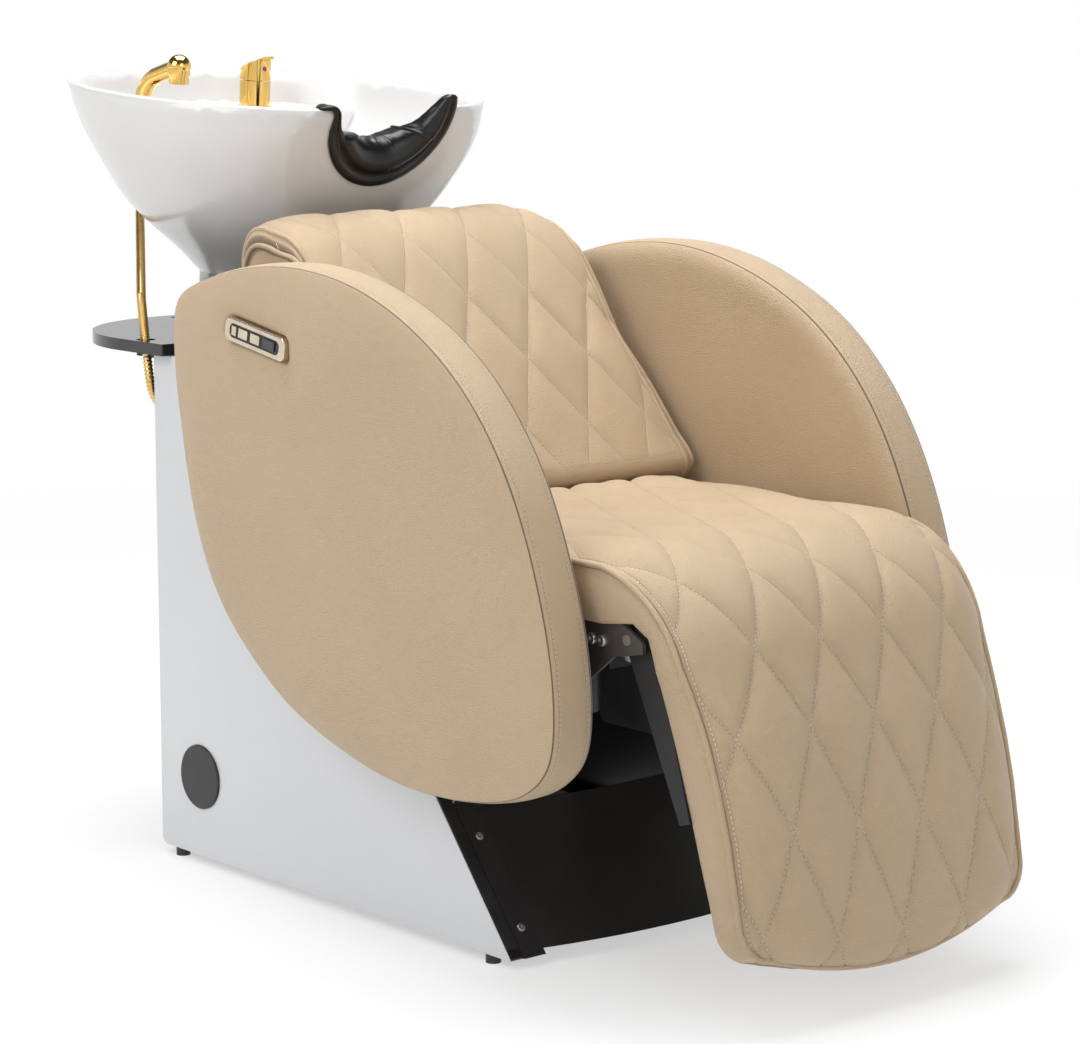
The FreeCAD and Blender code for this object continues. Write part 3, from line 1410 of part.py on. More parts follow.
def make_key_panel():
    face = key_face()
    front = face - bezel_proud
    rear = face + bezel_depth
    bezel = key_block((-bezel_length / 2, bezel_length / 2), (-bezel_width / 2, bezel_width / 2),
                      bezel_round, (rear, front))
    rim = [edge for edge in bezel.Edges
           if abs(edge.BoundBox.XMin - front) < running_gap and edge.BoundBox.XLength < running_gap]
    bezel = bezel.makeFillet(bezel_proud / 2, rim)
    well = key_block((-insert_length / 2 - running_gap, insert_length / 2 + running_gap),
                     (-insert_width / 2 - running_gap, insert_width / 2 + running_gap), insert_round,
                     (rear - strip_thickness, front - overrun))
    keep("key_bezel", bezel.cut(well))
    insert_front = front + insert_recess
    insert = key_block((-insert_length / 2, insert_length / 2), (-insert_width / 2, insert_width / 2),
                       insert_round,
                       (insert_front + insert_thickness, insert_front))
    wells = []
    for length, centre in zip(key_lengths, key_centres):
        wells.append(key_block((centre - length / 2 - key_gap, centre + length / 2 + key_gap),
                               (-key_height / 2 - key_gap, key_height / 2 + key_gap), strip_thickness / 2,
                               (rear, front - overrun)))
    keep("key_insert", insert.cut(Part.makeCompound(wells)))
    board_front = rear - strip_thickness - 2 * key_travel
    board = key_block((-insert_length / 2 + strip_thickness, insert_length / 2 - strip_thickness),
                      (-insert_width / 2 + strip_thickness, insert_width / 2 - strip_thickness),
                      insert_round / 2,
                      (rear - strip_thickness, board_front + sheet_gap))
    keep("key_circuit_board", board)
    for name, length, centre in zip(key_names, key_lengths, key_centres):
        key_front = insert_front - key_proud
        keep(name, key_block((centre - length / 2, centre + length / 2), (-key_height / 2, key_height / 2),
                             strip_thickness / 2, (key_front + key_thickness, key_front)))


def drive_height():
    """Height of the drive's axis, midway through the arc of the hook pin."""
    return knee_height - hook_radius * (1 + math.cos(math.radians(lift_angle / 2))) / 2


def hook_point():
    """Hook pin at rest. It swings through an even arc about the lowest point."""
    half = math.radians(lift_angle / 2)
    return point(0, -knee_across + hook_radius * math.sin(half), knee_height - hook_radius * math.cos(half))


def make_leg_arms():
    slab = leg_slab()
    arms, pins = [], []
    for side in (-1, 1):
        x = side * leg_arm_across
        corners = [(-leg_arm_back, -leg_arm_boss, leg_arm_boss - strip_thickness),
                   (leg_arm_length, leg_offset - leg_arm_boss, strip_thickness),
                   (leg_arm_length, leg_offset, 0),
                   (leg_start + board_inset, leg_offset, 0),
                   (-leg_arm_back, leg_arm_boss, leg_arm_boss - strip_thickness)]
        arm = plate(corners, lambda s, t: slab.at(x, s, t), point(side * leg_arm_thickness, 0, 0))
        bore = across_rod((x - side * overrun, x + side * 2 * overrun), -knee_across, knee_height,
                          leg_pin_radius + running_gap)
        tab_start, tab_top = leg_start + 2 * board_inset, leg_offset - strip_thickness
        tab = plate([(tab_start, tab_top, 0), (leg_arm_length, tab_top, 0), (leg_arm_length, leg_offset, 0),
                     (tab_start, leg_offset, 0)], lambda s, t: slab.at(x, s, t),
                    point(-side * leg_tab_width, 0, 0))
        arms.append(arm.fuse(tab).cut(bore))
        inner = side * (leg_arm_across - strip_thickness)
        outer = side * (panel_inner_half + strip_thickness / 2)
        pins.append(across_rod((inner, outer), -knee_across, knee_height, leg_pin_radius))
    hook = hook_point()
    centre = hook - slab.origin
    s0, t0 = centre.dot(slab.along), centre.dot(slab.out)
    boss = 2 * drive_pin_radius
    ears = []
    for side in (-1, 1):
        x = side * (yoke_thickness / 2 + hook_gap)
        corners = [(s0 - boss, t0 - boss, boss - strip_thickness),
                   (s0 + boss, t0 - boss, boss - strip_thickness),
                   (hook_foot_end, leg_offset, 0), (hook_foot_start, leg_offset, 0)]
        ears.append(plate(corners, lambda s, t: slab.at(x, s, t), point(side * hook_plate, 0, 0)))
    reach = yoke_thickness / 2 + hook_gap + hook_plate
    foot_top = leg_offset - strip_thickness
    foot = plate([(hook_foot_start, foot_top, 0), (hook_foot_end, foot_top, 0),
                  (hook_foot_end, leg_offset, 0),
                  (hook_foot_start, leg_offset, 0)], lambda s, t: slab.at(-2 * reach, s, t),
                 point(4 * reach, 0, 0))
    bore = across_rod((-2 * reach, 2 * reach), hook.y, hook.z, drive_pin_radius + running_gap)
    keep("legrest_arms", *arms, foot.fuse(ears).cut(bore))
    reach = reach + strip_thickness
    pins.append(across_rod((-reach, reach), hook.y, hook.z, drive_pin_radius))
    keep("legrest_pins", *pins)


def make_leg_drive():
    """Fixed screw drive whose slotted yoke pushes the hook pin forward."""
    z = drive_height()
    ahead = point(0, -1, 0)
    tube_length = drive_tube_front - drive_tube_rear
    tube = rod(point(0, -drive_tube_rear, z), ahead, drive_tube_radius, tube_length)
    cavity = rod(point(0, -drive_tube_rear - overrun, z), ahead, drive_rod_radius + running_gap,
                 tube_length)
    keep("drive_tube", tube.cut(cavity))
    motor_top = z - drive_tube_radius * 3 / 4
    motor = rod(point(0, -drive_tube_rear - motor_radius, motor_top), point(0, 0, -1), motor_radius,
                motor_length)
    fit = drive_tube_radius + running_gap
    keep("drive_motor", motor.cut(rod(point(0, -drive_tube_rear + overrun, z), ahead, fit, tube_length)))
    hook = hook_point()
    slot_half = (hook_radius - hook_radius * math.cos(math.radians(lift_angle / 2))) / 2 + yoke_slot_play
    slot_wide = drive_pin_radius + yoke_slot_play
    tall = slot_half + slot_wide + yoke_rim
    deep = slot_wide + yoke_rim
    yoke = side_plate(rectangle((hook.y - deep, hook.y + deep), (z - tall, z + tall), yoke_rim),
                      (-yoke_thickness / 2, yoke_thickness / 2))
    slot = side_plate(rectangle((hook.y - slot_wide, hook.y + slot_wide),
                                (z - slot_half - slot_wide, z + slot_half + slot_wide),
                                slot_wide - running_gap), (-yoke_thickness, yoke_thickness))
    shaft = rod(point(0, hook.y + drive_rod_engaged + deep, z), ahead, drive_rod_radius,
                drive_rod_engaged + yoke_rim / 2)
    keep("drive_rod", yoke.fuse(shaft).cut(slot))
    y = -drive_bracket_setback
    clamp = block((-drive_bracket_half, drive_bracket_half),
                  (y - drive_bracket_depth / 2, y + drive_bracket_depth / 2),
                  (z - drive_tube_radius - clamp_wall, z + drive_tube_radius + clamp_wall))
    keep("drive_clamp",
         clamp.cut(rod(point(0, y + drive_bracket_depth, z), ahead, fit, 2 * drive_bracket_depth)))


def make_services(apron_angles, apron_screws):
    y = -cover_setback
    cover = block((-panel_inner_half + sheet_gap, panel_inner_half - sheet_gap), (y, y + cover_sheet),
                  (cover_bottom, cover_top))
    window = block((inlet_across - inlet_width / 2, inlet_across + inlet_width / 2),
                   (y - overrun, y + overrun),
                   (inlet_height - inlet_tall / 2, inlet_height + inlet_tall / 2))
    angles, screws, holes = [], [], []
    for side in (-1, 1):
        wall = side * panel_inner_half
        flat = block((wall, wall - side * cover_angle), (y, y - strip_thickness),
                     (rail_base + rail_height, cover_top))
        web = block((wall, wall - side * strip_thickness), (y, y - cover_angle),
                    (rail_base + rail_height, cover_top))
        angles.append(flat.fuse(web))
        for share in cover_screw_shares:
            spot = point(wall - side * cover_angle / 2, y + cover_sheet, cover_top * share)
            head = rod(spot, point(0, 1, 0), screw_head_radius, screw_head_height)
            shank = rod(spot, point(0, -1, 0), screw_radius, cover_sheet + 2 * strip_thickness)
            holes.append(rod(spot + point(0, overrun, 0), point(0, -1, 0), screw_radius + running_gap,
                             3 * overrun))
            screws.append(head.fuse(shank))
    cuts = Part.makeCompound(holes)
    notch = plate(rectangle(hose_notch_pair, (hose_notch_bottom, cover_top + 2 * hose_notch_radius),
                            hose_notch_radius), lambda u, v: point(u, y - overrun, v),
                  point(0, 2 * overrun, 0))
    keep("rear_service_cover", cover.cut(window).cut(notch).cut(cuts))
    keep("panel_angles", *apron_angles, *[angle.cut(cuts) for angle in angles])
    keep("sheet_screws", *apron_screws, *screws)
    flange = block((inlet_across - inlet_width / 2 - strip_thickness,
                    inlet_across + inlet_width / 2 + strip_thickness),
                   (y + cover_sheet, y + cover_sheet + strip_thickness),
                   (inlet_height - inlet_tall / 2 - strip_thickness,
                    inlet_height + inlet_tall / 2 + strip_thickness))
    shell = block((inlet_across - inlet_width / 2 + sheet_gap, inlet_across + inlet_width / 2 - sheet_gap),
                  (y + cover_sheet, y - inlet_depth),
                  (inlet_height - inlet_tall / 2 + sheet_gap, inlet_height + inlet_tall / 2 - sheet_gap))
    socket = block((inlet_across - inlet_width / 3, inlet_across + inlet_width / 3),
                   (y + overrun, y - inlet_depth + overrun),
                   (inlet_height - inlet_tall / 3, inlet_height + inlet_tall / 3))
    keep("power_inlet", flange.fuse(shell).cut(socket))
    rail_top = rail_base + rail_height
    control = block((-box_half_width, box_half_width),
                    (-rear_rail_setback, -rear_rail_setback - box_length),
                    (rail_top, rail_top + box_height))
    keep("control_box", control)


def centre_and_write():
    """Centres the whole footprint on the origin, leaving out the hoses, and writes the pieces."""
    fixed = Part.makeCompound([shape for name, shape in parts.items() if "hose" not in name])
    bounds = fixed.BoundBox
    shift = point(-(bounds.XMin + bounds.XMax) / 2, -(bounds.YMin + bounds.YMax) / 2, 0)
    print("shift", shift, "size", bounds.XLength, bounds.YLength, bounds.ZLength, "low", bounds.ZMin)
    os.makedirs("parts", exist_ok=True)
    for name, shape in parts.items():
        moved = shape.copy()
        moved.translate(shift)
        if not moved.isValid():
            print("not valid", name)
        moved.exportStep("parts/" + name + ".step")
    print(len(parts), "nodes")
    return shift


make_side_panels()
make_access_caps()
make_edge_strips()
make_feet()
make_frame()
make_side_plates()
seat_tube_bolts = make_seat_tubes()
front_angles, front_screws = make_apron()
make_shelf()
make_carrier()
make_basin()
make_tilt_cradle()
make_neck_rest()
make_mixer()
make_spray()
make_waste()
make_hoses()
make_seat()
make_legrest()
make_knee()
make_back()
make_armrests(seat_tube_bolts)
make_key_panel()
make_leg_arms()
make_leg_drive()
make_services(front_angles, front_screws)
footprint_shift = centre_and_write()
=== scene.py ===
import math
from functools import partial

import bmesh
import bpy
import numpy as np
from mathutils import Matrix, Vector, noise


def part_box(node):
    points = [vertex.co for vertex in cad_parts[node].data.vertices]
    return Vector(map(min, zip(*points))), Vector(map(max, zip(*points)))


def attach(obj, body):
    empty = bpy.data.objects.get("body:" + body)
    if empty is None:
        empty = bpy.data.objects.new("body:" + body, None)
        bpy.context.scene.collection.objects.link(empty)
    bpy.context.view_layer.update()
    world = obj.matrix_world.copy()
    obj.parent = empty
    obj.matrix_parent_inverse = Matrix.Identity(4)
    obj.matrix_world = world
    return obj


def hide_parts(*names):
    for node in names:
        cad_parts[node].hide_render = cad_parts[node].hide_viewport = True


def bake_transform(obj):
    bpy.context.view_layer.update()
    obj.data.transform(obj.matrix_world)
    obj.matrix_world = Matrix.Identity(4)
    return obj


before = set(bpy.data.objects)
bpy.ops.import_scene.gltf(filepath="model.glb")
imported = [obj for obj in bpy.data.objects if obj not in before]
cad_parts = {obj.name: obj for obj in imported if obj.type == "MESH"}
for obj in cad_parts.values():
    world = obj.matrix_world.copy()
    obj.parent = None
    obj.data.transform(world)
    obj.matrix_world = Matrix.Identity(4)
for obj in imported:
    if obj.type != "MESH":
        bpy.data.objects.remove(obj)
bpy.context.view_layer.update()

# The hair washing bed stands with its sitter facing -Y. Places are given in millimetres across from
# its middle, behind the rear edge of its side panels, and up from the floor, as in the CAD source.
mm = 0.001
far_from_seam = 9
panel_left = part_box("side_panel_left")
panel_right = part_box("side_panel_right")
middle_x = (panel_left[1].x + panel_right[0].x) / 2
rear_y = panel_left[1].y


def place(x, y, z):
    return Vector((middle_x + x * mm, rear_y + y * mm, z * mm))


def places(spots):
    """Rows of millimetre places as an array of points in the row frame."""
    return np.asarray(spots, float) * mm + np.array((middle_x, rear_y, 0))


def run_lengths(spots):
    """Length run along a line at each of its points."""
    return np.concatenate(([0], np.cumsum(np.linalg.norm(np.diff(spots, axis=0), axis=1))))


def loop_lengths(loop):
    """Length run around a closed line at each of its points."""
    return run_lengths(np.vstack((loop, loop[:1])))[:-1]


def link_object(name, data):
    piece = bpy.data.objects.new(name, data)
    bpy.context.scene.collection.objects.link(piece)
    return piece


# Camera: long lens from the front right of the chair, a little above the seat.
camera_data = bpy.data.cameras.new("photo_camera")
camera_data.lens = 109.17
camera_data.sensor_width = 36
camera_data.sensor_fit = "HORIZONTAL"
camera = link_object("photo_camera", camera_data)
camera.location = Vector((-2.5437, rear_y - 3.4223, 1.0912))
camera.rotation_euler = (math.radians(80.78), 0, math.radians(-40.57))
bpy.context.scene.camera = camera


# Materials share three node groups: pebbled grain, slow drift of tone with a fine speckle, and a row of thread
# stitches.
# A value for a socket is a number, a colour or another node's output, which is linked.
def feed(tree, value, socket):
    if isinstance(value, bpy.types.NodeSocket):
        tree.links.new(value, socket)
    elif socket.type == "RGBA":
        socket.default_value = (*value, 1)
    else:
        socket.default_value = value


def add_node(tree, kind, inputs=(), **settings):
    node = tree.nodes.new("ShaderNode" + kind)
    for label, value in settings.items():
        setattr(node, label, value)
    for label, value in dict(inputs).items():
        feed(tree, value, node.inputs[label])
    return node


def joined(tree, kind, *operands, **settings):
    """First output of a new node whose inputs take the operands in order."""
    node = add_node(tree, kind, **settings)
    for value, socket in zip(operands, node.inputs):
        feed(tree, value, socket)
    return node.outputs[0]


def calc(tree, operation, *operands):
    return joined(tree, "Math", *operands, operation=operation)


def object_place(tree):
    return add_node(tree, "TexCoord").outputs["Object"]


def noise_cloud(tree, where, scale, detail):
    return add_node(tree, "TexNoise", {"Vector": where, "Scale": scale, "Detail": detail}).outputs


def new_group(name, inputs, outputs):
    """Node group with number sockets, and its input and output nodes."""
    group = bpy.data.node_groups.new(name, "ShaderNodeTree")
    for label, start in inputs:
        socket = group.interface.new_socket(name=label, in_out="INPUT", socket_type="NodeSocketFloat")
        socket.default_value = start
    for label in outputs:
        group.interface.new_socket(name=label, in_out="OUTPUT", socket_type="NodeSocketFloat")
    return group, group.nodes.new("NodeGroupInput"), group.nodes.new("NodeGroupOutput")


def make_pebble_group():
    """Leather grain: small raised pebbles with fine creases, and slow drift of tone."""
    group, entry, leave = new_group(
        "pebble_grain", [("Pebbles per metre", 420)], ["Height", "Crease", "Tone"])
    where = object_place(group)
    warp = noise_cloud(group, where, 90, 3)["Color"]
    moved = joined(group, "VectorMath", warp, (0.004, 0.004, 0.004), where, operation="MULTIPLY_ADD")
    cells = add_node(group, "TexVoronoi", {"Vector": moved, "Scale": entry.outputs["Pebbles per metre"]},
                     feature="DISTANCE_TO_EDGE")
    dome = calc(group, "POWER", cells.outputs["Distance"], 0.45)
    fine = noise_cloud(group, where, 1300, 2)["Fac"]
    feed(group, calc(group, "MULTIPLY_ADD", fine, 0.25, dome), leave.inputs["Height"])
    feed(group, calc(group, "SUBTRACT", 1, dome), leave.inputs["Crease"])
    feed(group, noise_cloud(group, where, 7, 4)["Fac"], leave.inputs["Tone"])
    return group


def make_drift_group():
    """Slow change of tone and a fine even speckle, for lacquer, paint, metal and plastic."""
    group, entry, leave = new_group(
        "surface_drift", [("Patches per metre", 6), ("Specks per metre", 900)], ["Patch", "Speck"])
    where = object_place(group)
    for label, source in (("Patch", "Patches per metre"), ("Speck", "Specks per metre")):
        feed(group, noise_cloud(group, where, entry.outputs[source], 3)["Fac"], leave.inputs[label])
    return group


def make_stitch_group():
    """Dashes of thread: Along runs with the row, Off is the distance from it, both in metres."""
    group, entry, leave = new_group(
        "thread_row", [("Along", 0), ("Off", 0), ("Stitch", 0.0056), ("Half width", 0.00046)],
        ["Thread", "Channel"])
    off = calc(group, "ABSOLUTE", entry.outputs["Off"])
    inside = calc(group, "LESS_THAN", off, entry.outputs["Half width"])
    beat = calc(group, "DIVIDE", entry.outputs["Along"], entry.outputs["Stitch"])
    dash = calc(group, "LESS_THAN", calc(group, "FRACT", beat), 0.68)
    feed(group, calc(group, "MULTIPLY", inside, dash), leave.inputs["Thread"])
    fall = calc(group, "SUBTRACT", 1, calc(group, "DIVIDE", off, 0.0016))
    feed(group, calc(group, "MAXIMUM", fall, 0), leave.inputs["Channel"])
    return group


pebble_group = make_pebble_group()
drift_group = make_drift_group()
stitch_group = make_stitch_group()


def new_material(name, colour, roughness, metallic=0, **extra):
    material = bpy.data.materials.new(name)
    material.use_nodes = True
    tree = material.node_tree
    shader = tree.nodes["Principled BSDF"]
    shader.inputs["Base Color"].default_value = (*colour, 1)
    for label, value in {"Roughness": roughness, "Metallic": metallic, **extra}.items():
        shader.inputs[label.replace("_", " ")].default_value = value
    return material, tree, shader


def colour_ramp(tree, factor, low, high, start=0.3, end=0.7):
    ramp = add_node(tree, "ValToRGB")
    for element, position, colour in zip(ramp.color_ramp.elements, (start, end), (low, high)):
        element.position = position
        element.color = (*colour, 1)
    feed(tree, factor, ramp.inputs[0])
    return ramp.outputs[0]


def mix_colour(tree, factor, base, top):
    mix = add_node(tree, "Mix", data_type="RGBA")
    feed(tree, factor, mix.inputs["Factor"])
    for socket, value in zip([socket for socket in mix.inputs if socket.type == "RGBA"], (base, top)):
        feed(tree, value, socket)
    return [socket for socket in mix.outputs if socket.type == "RGBA"][0]


def add_bump(tree, shader, height, distance):
    bump = add_node(tree, "Bump", {"Height": height, "Distance": distance, "Strength": 1})
    feed(tree, bump.outputs["Normal"], shader.inputs["Normal"])


def finish(name, low, high, roughness, spread, metallic, bump, patches, specks, **extra):
    """Even finish with slow tone drift, a little change in gloss and a faint orange-peel."""
    material, tree, shader = new_material(name, high, roughness, metallic, **extra)
    drift = add_node(tree, "Group", node_tree=drift_group)
    drift.inputs["Patches per metre"].default_value = patches
    drift.inputs["Specks per metre"].default_value = specks
    feed(tree, colour_ramp(tree, drift.outputs["Patch"], low, high), shader.inputs["Base Color"])
    speck = drift.outputs["Speck"]
    feed(tree, calc(tree, "MULTIPLY_ADD", speck, spread, roughness - spread / 2),
         shader.inputs["Roughness"])
    if bump > 0:
        add_bump(tree, shader, speck, bump * mm)
    return material


def dress(material, *nodes):
    """Gives CAD nodes their material without touching their meshes."""
    for node in nodes:
        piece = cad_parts[node]
        if not piece.material_slots:
            piece.data.materials.append(material)
        for slot in piece.material_slots:
            slot.material = material


def new_piece(name, mesh, material):
    piece = link_object(name, mesh)
    mesh.materials.clear()
    mesh.materials.append(material)
    return piece


# Hoses: a gold ribbed spray hose from the handle down through the shelf, its lower run to the mixer,
# and a grey waste hose. They hang from the basin and pass behind the cabinet into it.
spray_hose_top = (-92, 261.49, 893.56)
spray_hose_bend = (-92, 267.61, 808.08)
spray_hose_straight = ((-124.3, 219.1, 785.4), (-222.8, 71.8, 716.1))
spray_hose_turn = (-240, 46, 704)
spray_hose_gate = (-249, 25, 657)
spray_hose_under = (-256.2, 8.2, 619.4)
spray_hose_route = (
    (-247, 13, 584), (-228, 4, 562), (-208, -28, 545), (-196, -54, 505),
    (-188, -64, 455), (-174, -66, 402), (-152, -62, 350), (-118, -52, 314),
    (-78, -40, 320), (-46, -28, 358), (-26, -14, 408), (-12, 8, 460),
    (2, 40, 506), (14, 84, 538), (28, 132, 558), (42, 184, 578),
    (54, 214, 622), (64, 222, 676), (74, 234, 732), (84, 246, 790),
)
mixer_tail = ((92, 265.23, 838.63), (92, 260.94, 898.48))
waste_hose_start = ((0, 56, 700), (0, 60, 640))
waste_hose_route = (
    (-4, 34, 560), (-18, -4, 498), (-30, -36, 430), (-36, -58, 352),
    (-34, -66, 270), (-28, -60, 188), (-26, -52, 108), (-26, -50, 40),
)
hose_diameter = 12
waste_hose_diameter = 38
hose_rib_pitch = 3.3
lower_rib_pitch = 4.95
hose_rib_depth = 0.9
waste_rib_pitch = 7
waste_rib_depth = 1.1


def spline_points(name, spots):
    """Points along one clamped NURBS spline whose control points are the route's."""
    curve = bpy.data.curves.new(name + "_route", "CURVE")
    curve.dimensions = "3D"
    curve.resolution_u = 24
    spline = curve.splines.new("NURBS")
    spline.points.add(len(spots) - 1)
    for control, spot in zip(spline.points, spots):
        control.co = (*place(*spot), 1)
    spline.order_u = 3
    spline.use_endpoint_u = True
    carrier = link_object(name + "_route", curve)
    bpy.context.view_layer.update()
    line = bpy.data.meshes.new_from_object(carrier.evaluated_get(bpy.context.evaluated_depsgraph_get()))
    points = [vertex.co.copy() for vertex in line.vertices]
    bpy.data.objects.remove(carrier)
    bpy.data.meshes.remove(line)
    return points


def even_points(points, step):
    """The same line with points an even step apart, and the length run at each."""
    spots = np.array(points, float)
    runs = run_lengths(spots)
    count = max(2, int(round(runs[-1] / step)))
    wanted = np.linspace(0, runs[-1], count + 1)
    return np.stack([np.interp(wanted, runs, axis) for axis in spots.T], axis=1), wanted


def ring_mesh(name, rings, maps=None):
    """Closed skin through rings of equal count. maps gives each UV map's values per ring and spot."""
    rows, columns = len(rings), len(rings[0])
    here = np.arange(rows * columns).reshape(rows, columns)
    after = np.roll(here, -1, axis=1)
    verts = np.concatenate(rings).tolist()
    faces = np.stack((here[:-1], after[:-1], after[1:], here[1:]), axis=2).reshape(-1, 4).tolist()
    for row in (0, rows - 1):
        faces += [(*edge, len(verts)) for edge in zip(here[row].tolist(), after[row].tolist())]
        verts.append(np.mean(rings[row], axis=0).tolist())
    mesh = bpy.data.meshes.new(name)
    mesh.from_pydata(verts, [], faces)
    for label, values in (maps or {}).items():
        flat = np.asarray(values, float).reshape(-1, 2)
        flat = np.vstack([flat, np.full((len(verts) - len(flat), 2), far_from_seam)])
        layer = mesh.uv_layers.new(name=label)
        index = np.zeros(len(mesh.loops), np.int32)
        mesh.loops.foreach_get("vertex_index", index)
        layer.data.foreach_set("uv", flat[index].ravel().astype(np.float32))
    work = bmesh.new()
    work.from_mesh(mesh)
    bmesh.ops.recalc_face_normals(work, faces=work.faces)
    work.to_mesh(mesh)
    work.free()
    mesh.shade_smooth()
    return mesh


def tube_rings(points, radii, sides):
    """Rings around a line, turned along it without twist."""
    spots = np.asarray(points, float)
    runs = np.gradient(spots, axis=0)
    runs /= np.linalg.norm(runs, axis=1)[:, None]
    across = np.cross(runs[0], (0, 0, 1))
    if np.linalg.norm(across) < 0.1:
        across = np.cross(runs[0], (1, 0, 0))
    rings = []
    turns = np.linspace(0, 2 * math.pi, sides, endpoint=False)
    for spot, run, radius in zip(spots, runs, radii):
        across = across - run * np.dot(across, run)
        across /= np.linalg.norm(across)
        up = np.cross(run, across)
        rings.append(spot + radius * (np.cos(turns)[:, None] * across + np.sin(turns)[:, None] * up))
    return rings


def hang_hose(name, stands_for, route, diameter, pitch, depth, sides, material):
    """Ribbed cord along the route, a ring at each crest and each root of its ribs."""
    line = spline_points(name, route)
    points, runs = even_points(line, pitch * mm / 4)
    beat = np.arange(len(points)) % 4
    radii = diameter / 2 * mm - np.where(beat >= 2, depth * mm, 0)
    hose = new_piece(name, ring_mesh(name, tube_rings(points, radii, sides)), material)
    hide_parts(stands_for)
    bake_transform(hose)


gold_hose = finish(
    "gold_ribbed_hose", (0.66, 0.42, 0.14), (0.82, 0.56, 0.22), 0.24, 0.12, 1, 0.03, 30, 700)
drain_grey = finish(
    "grey_waste_hose", (0.42, 0.43, 0.45), (0.52, 0.53, 0.55), 0.42, 0.12, 0, 0.08, 12, 500)
hang_hose("spray_hose_above", "spray_hose_upper",
          (spray_hose_top, spray_hose_bend, *spray_hose_straight, spray_hose_turn, spray_hose_gate),
          hose_diameter, hose_rib_pitch, hose_rib_depth, 20, gold_hose)
hang_hose("spray_hose_below", "spray_hose_lower",
          (spray_hose_gate, spray_hose_under, *spray_hose_route, *mixer_tail),
          hose_diameter, lower_rib_pitch, hose_rib_depth, 12, gold_hose)
hang_hose("waste_hose_ribbed", "waste_hose", (*waste_hose_start, *waste_hose_route),
          waste_hose_diameter, waste_rib_pitch, waste_rib_depth, 28, drain_grey)

# Sleeve inside the spray hose: it slides out of the hose's end when the spray is pulled up.
sleeve_length = 74
sleeve_overlap = 4
sleeve_rings = 1.6
sleeve_radius = 5
sleeve_groove = 0.35
sleeve_top = place(*spray_hose_top)
sleeve_run = (place(*spray_hose_bend) - sleeve_top).normalized()
sleeve_points, sleeve_lengths = even_points(
    [sleeve_top - sleeve_run * sleeve_overlap * mm, sleeve_top + sleeve_run * sleeve_length * mm],
                                            sleeve_rings * mm)
sleeve_radii = (sleeve_radius - sleeve_groove * (np.arange(len(sleeve_points)) % 2)) * mm
sleeve = new_piece("spray_hose_sleeve",
                   ring_mesh("spray_hose_sleeve", tube_rings(sleeve_points, sleeve_radii, 16)),
                   gold_hose)
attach(sleeve, "spray")


# Leather: warm cream, pebbled about every two millimetres, sewn with pale thread. The quilted
# leather carries two crossing families of stitched lines, read from the piece's own UV map.
leather_light = (0.610, 0.452, 0.290)
leather_dark = (0.580, 0.425, 0.268)
# Painted shade colour for the creases between the leather's pebbles.
leather_crease_shade = tuple(0.62 * part for part in leather_dark)
# Painted shade colour for the grooves of the stitched lines.
stitch_groove_shade_colour = (0.33, 0.235, 0.145)
# Painted shade colour for the dark band along the seams.
seam_shade_colour = (0.10, 0.066, 0.04)
thread_colour = (0.76, 0.64, 0.48)
quilt_across = 98
quilt_along = 197
quilt_steep = 1 / math.hypot(1 / quilt_across, 1 / quilt_along)
stitch_seam_offset = 7.5


def uv_parts(tree, label):
    node = add_node(tree, "UVMap", uv_map=label)
    return add_node(tree, "SeparateXYZ", {"Vector": node.outputs["UV"]}).outputs


def thread_row(tree, along, off):
    node = add_node(tree, "Group", node_tree=stitch_group)
    feed(tree, along, node.inputs["Along"])
    feed(tree, off, node.inputs["Off"])
    return node.outputs["Thread"], node.outputs["Channel"]


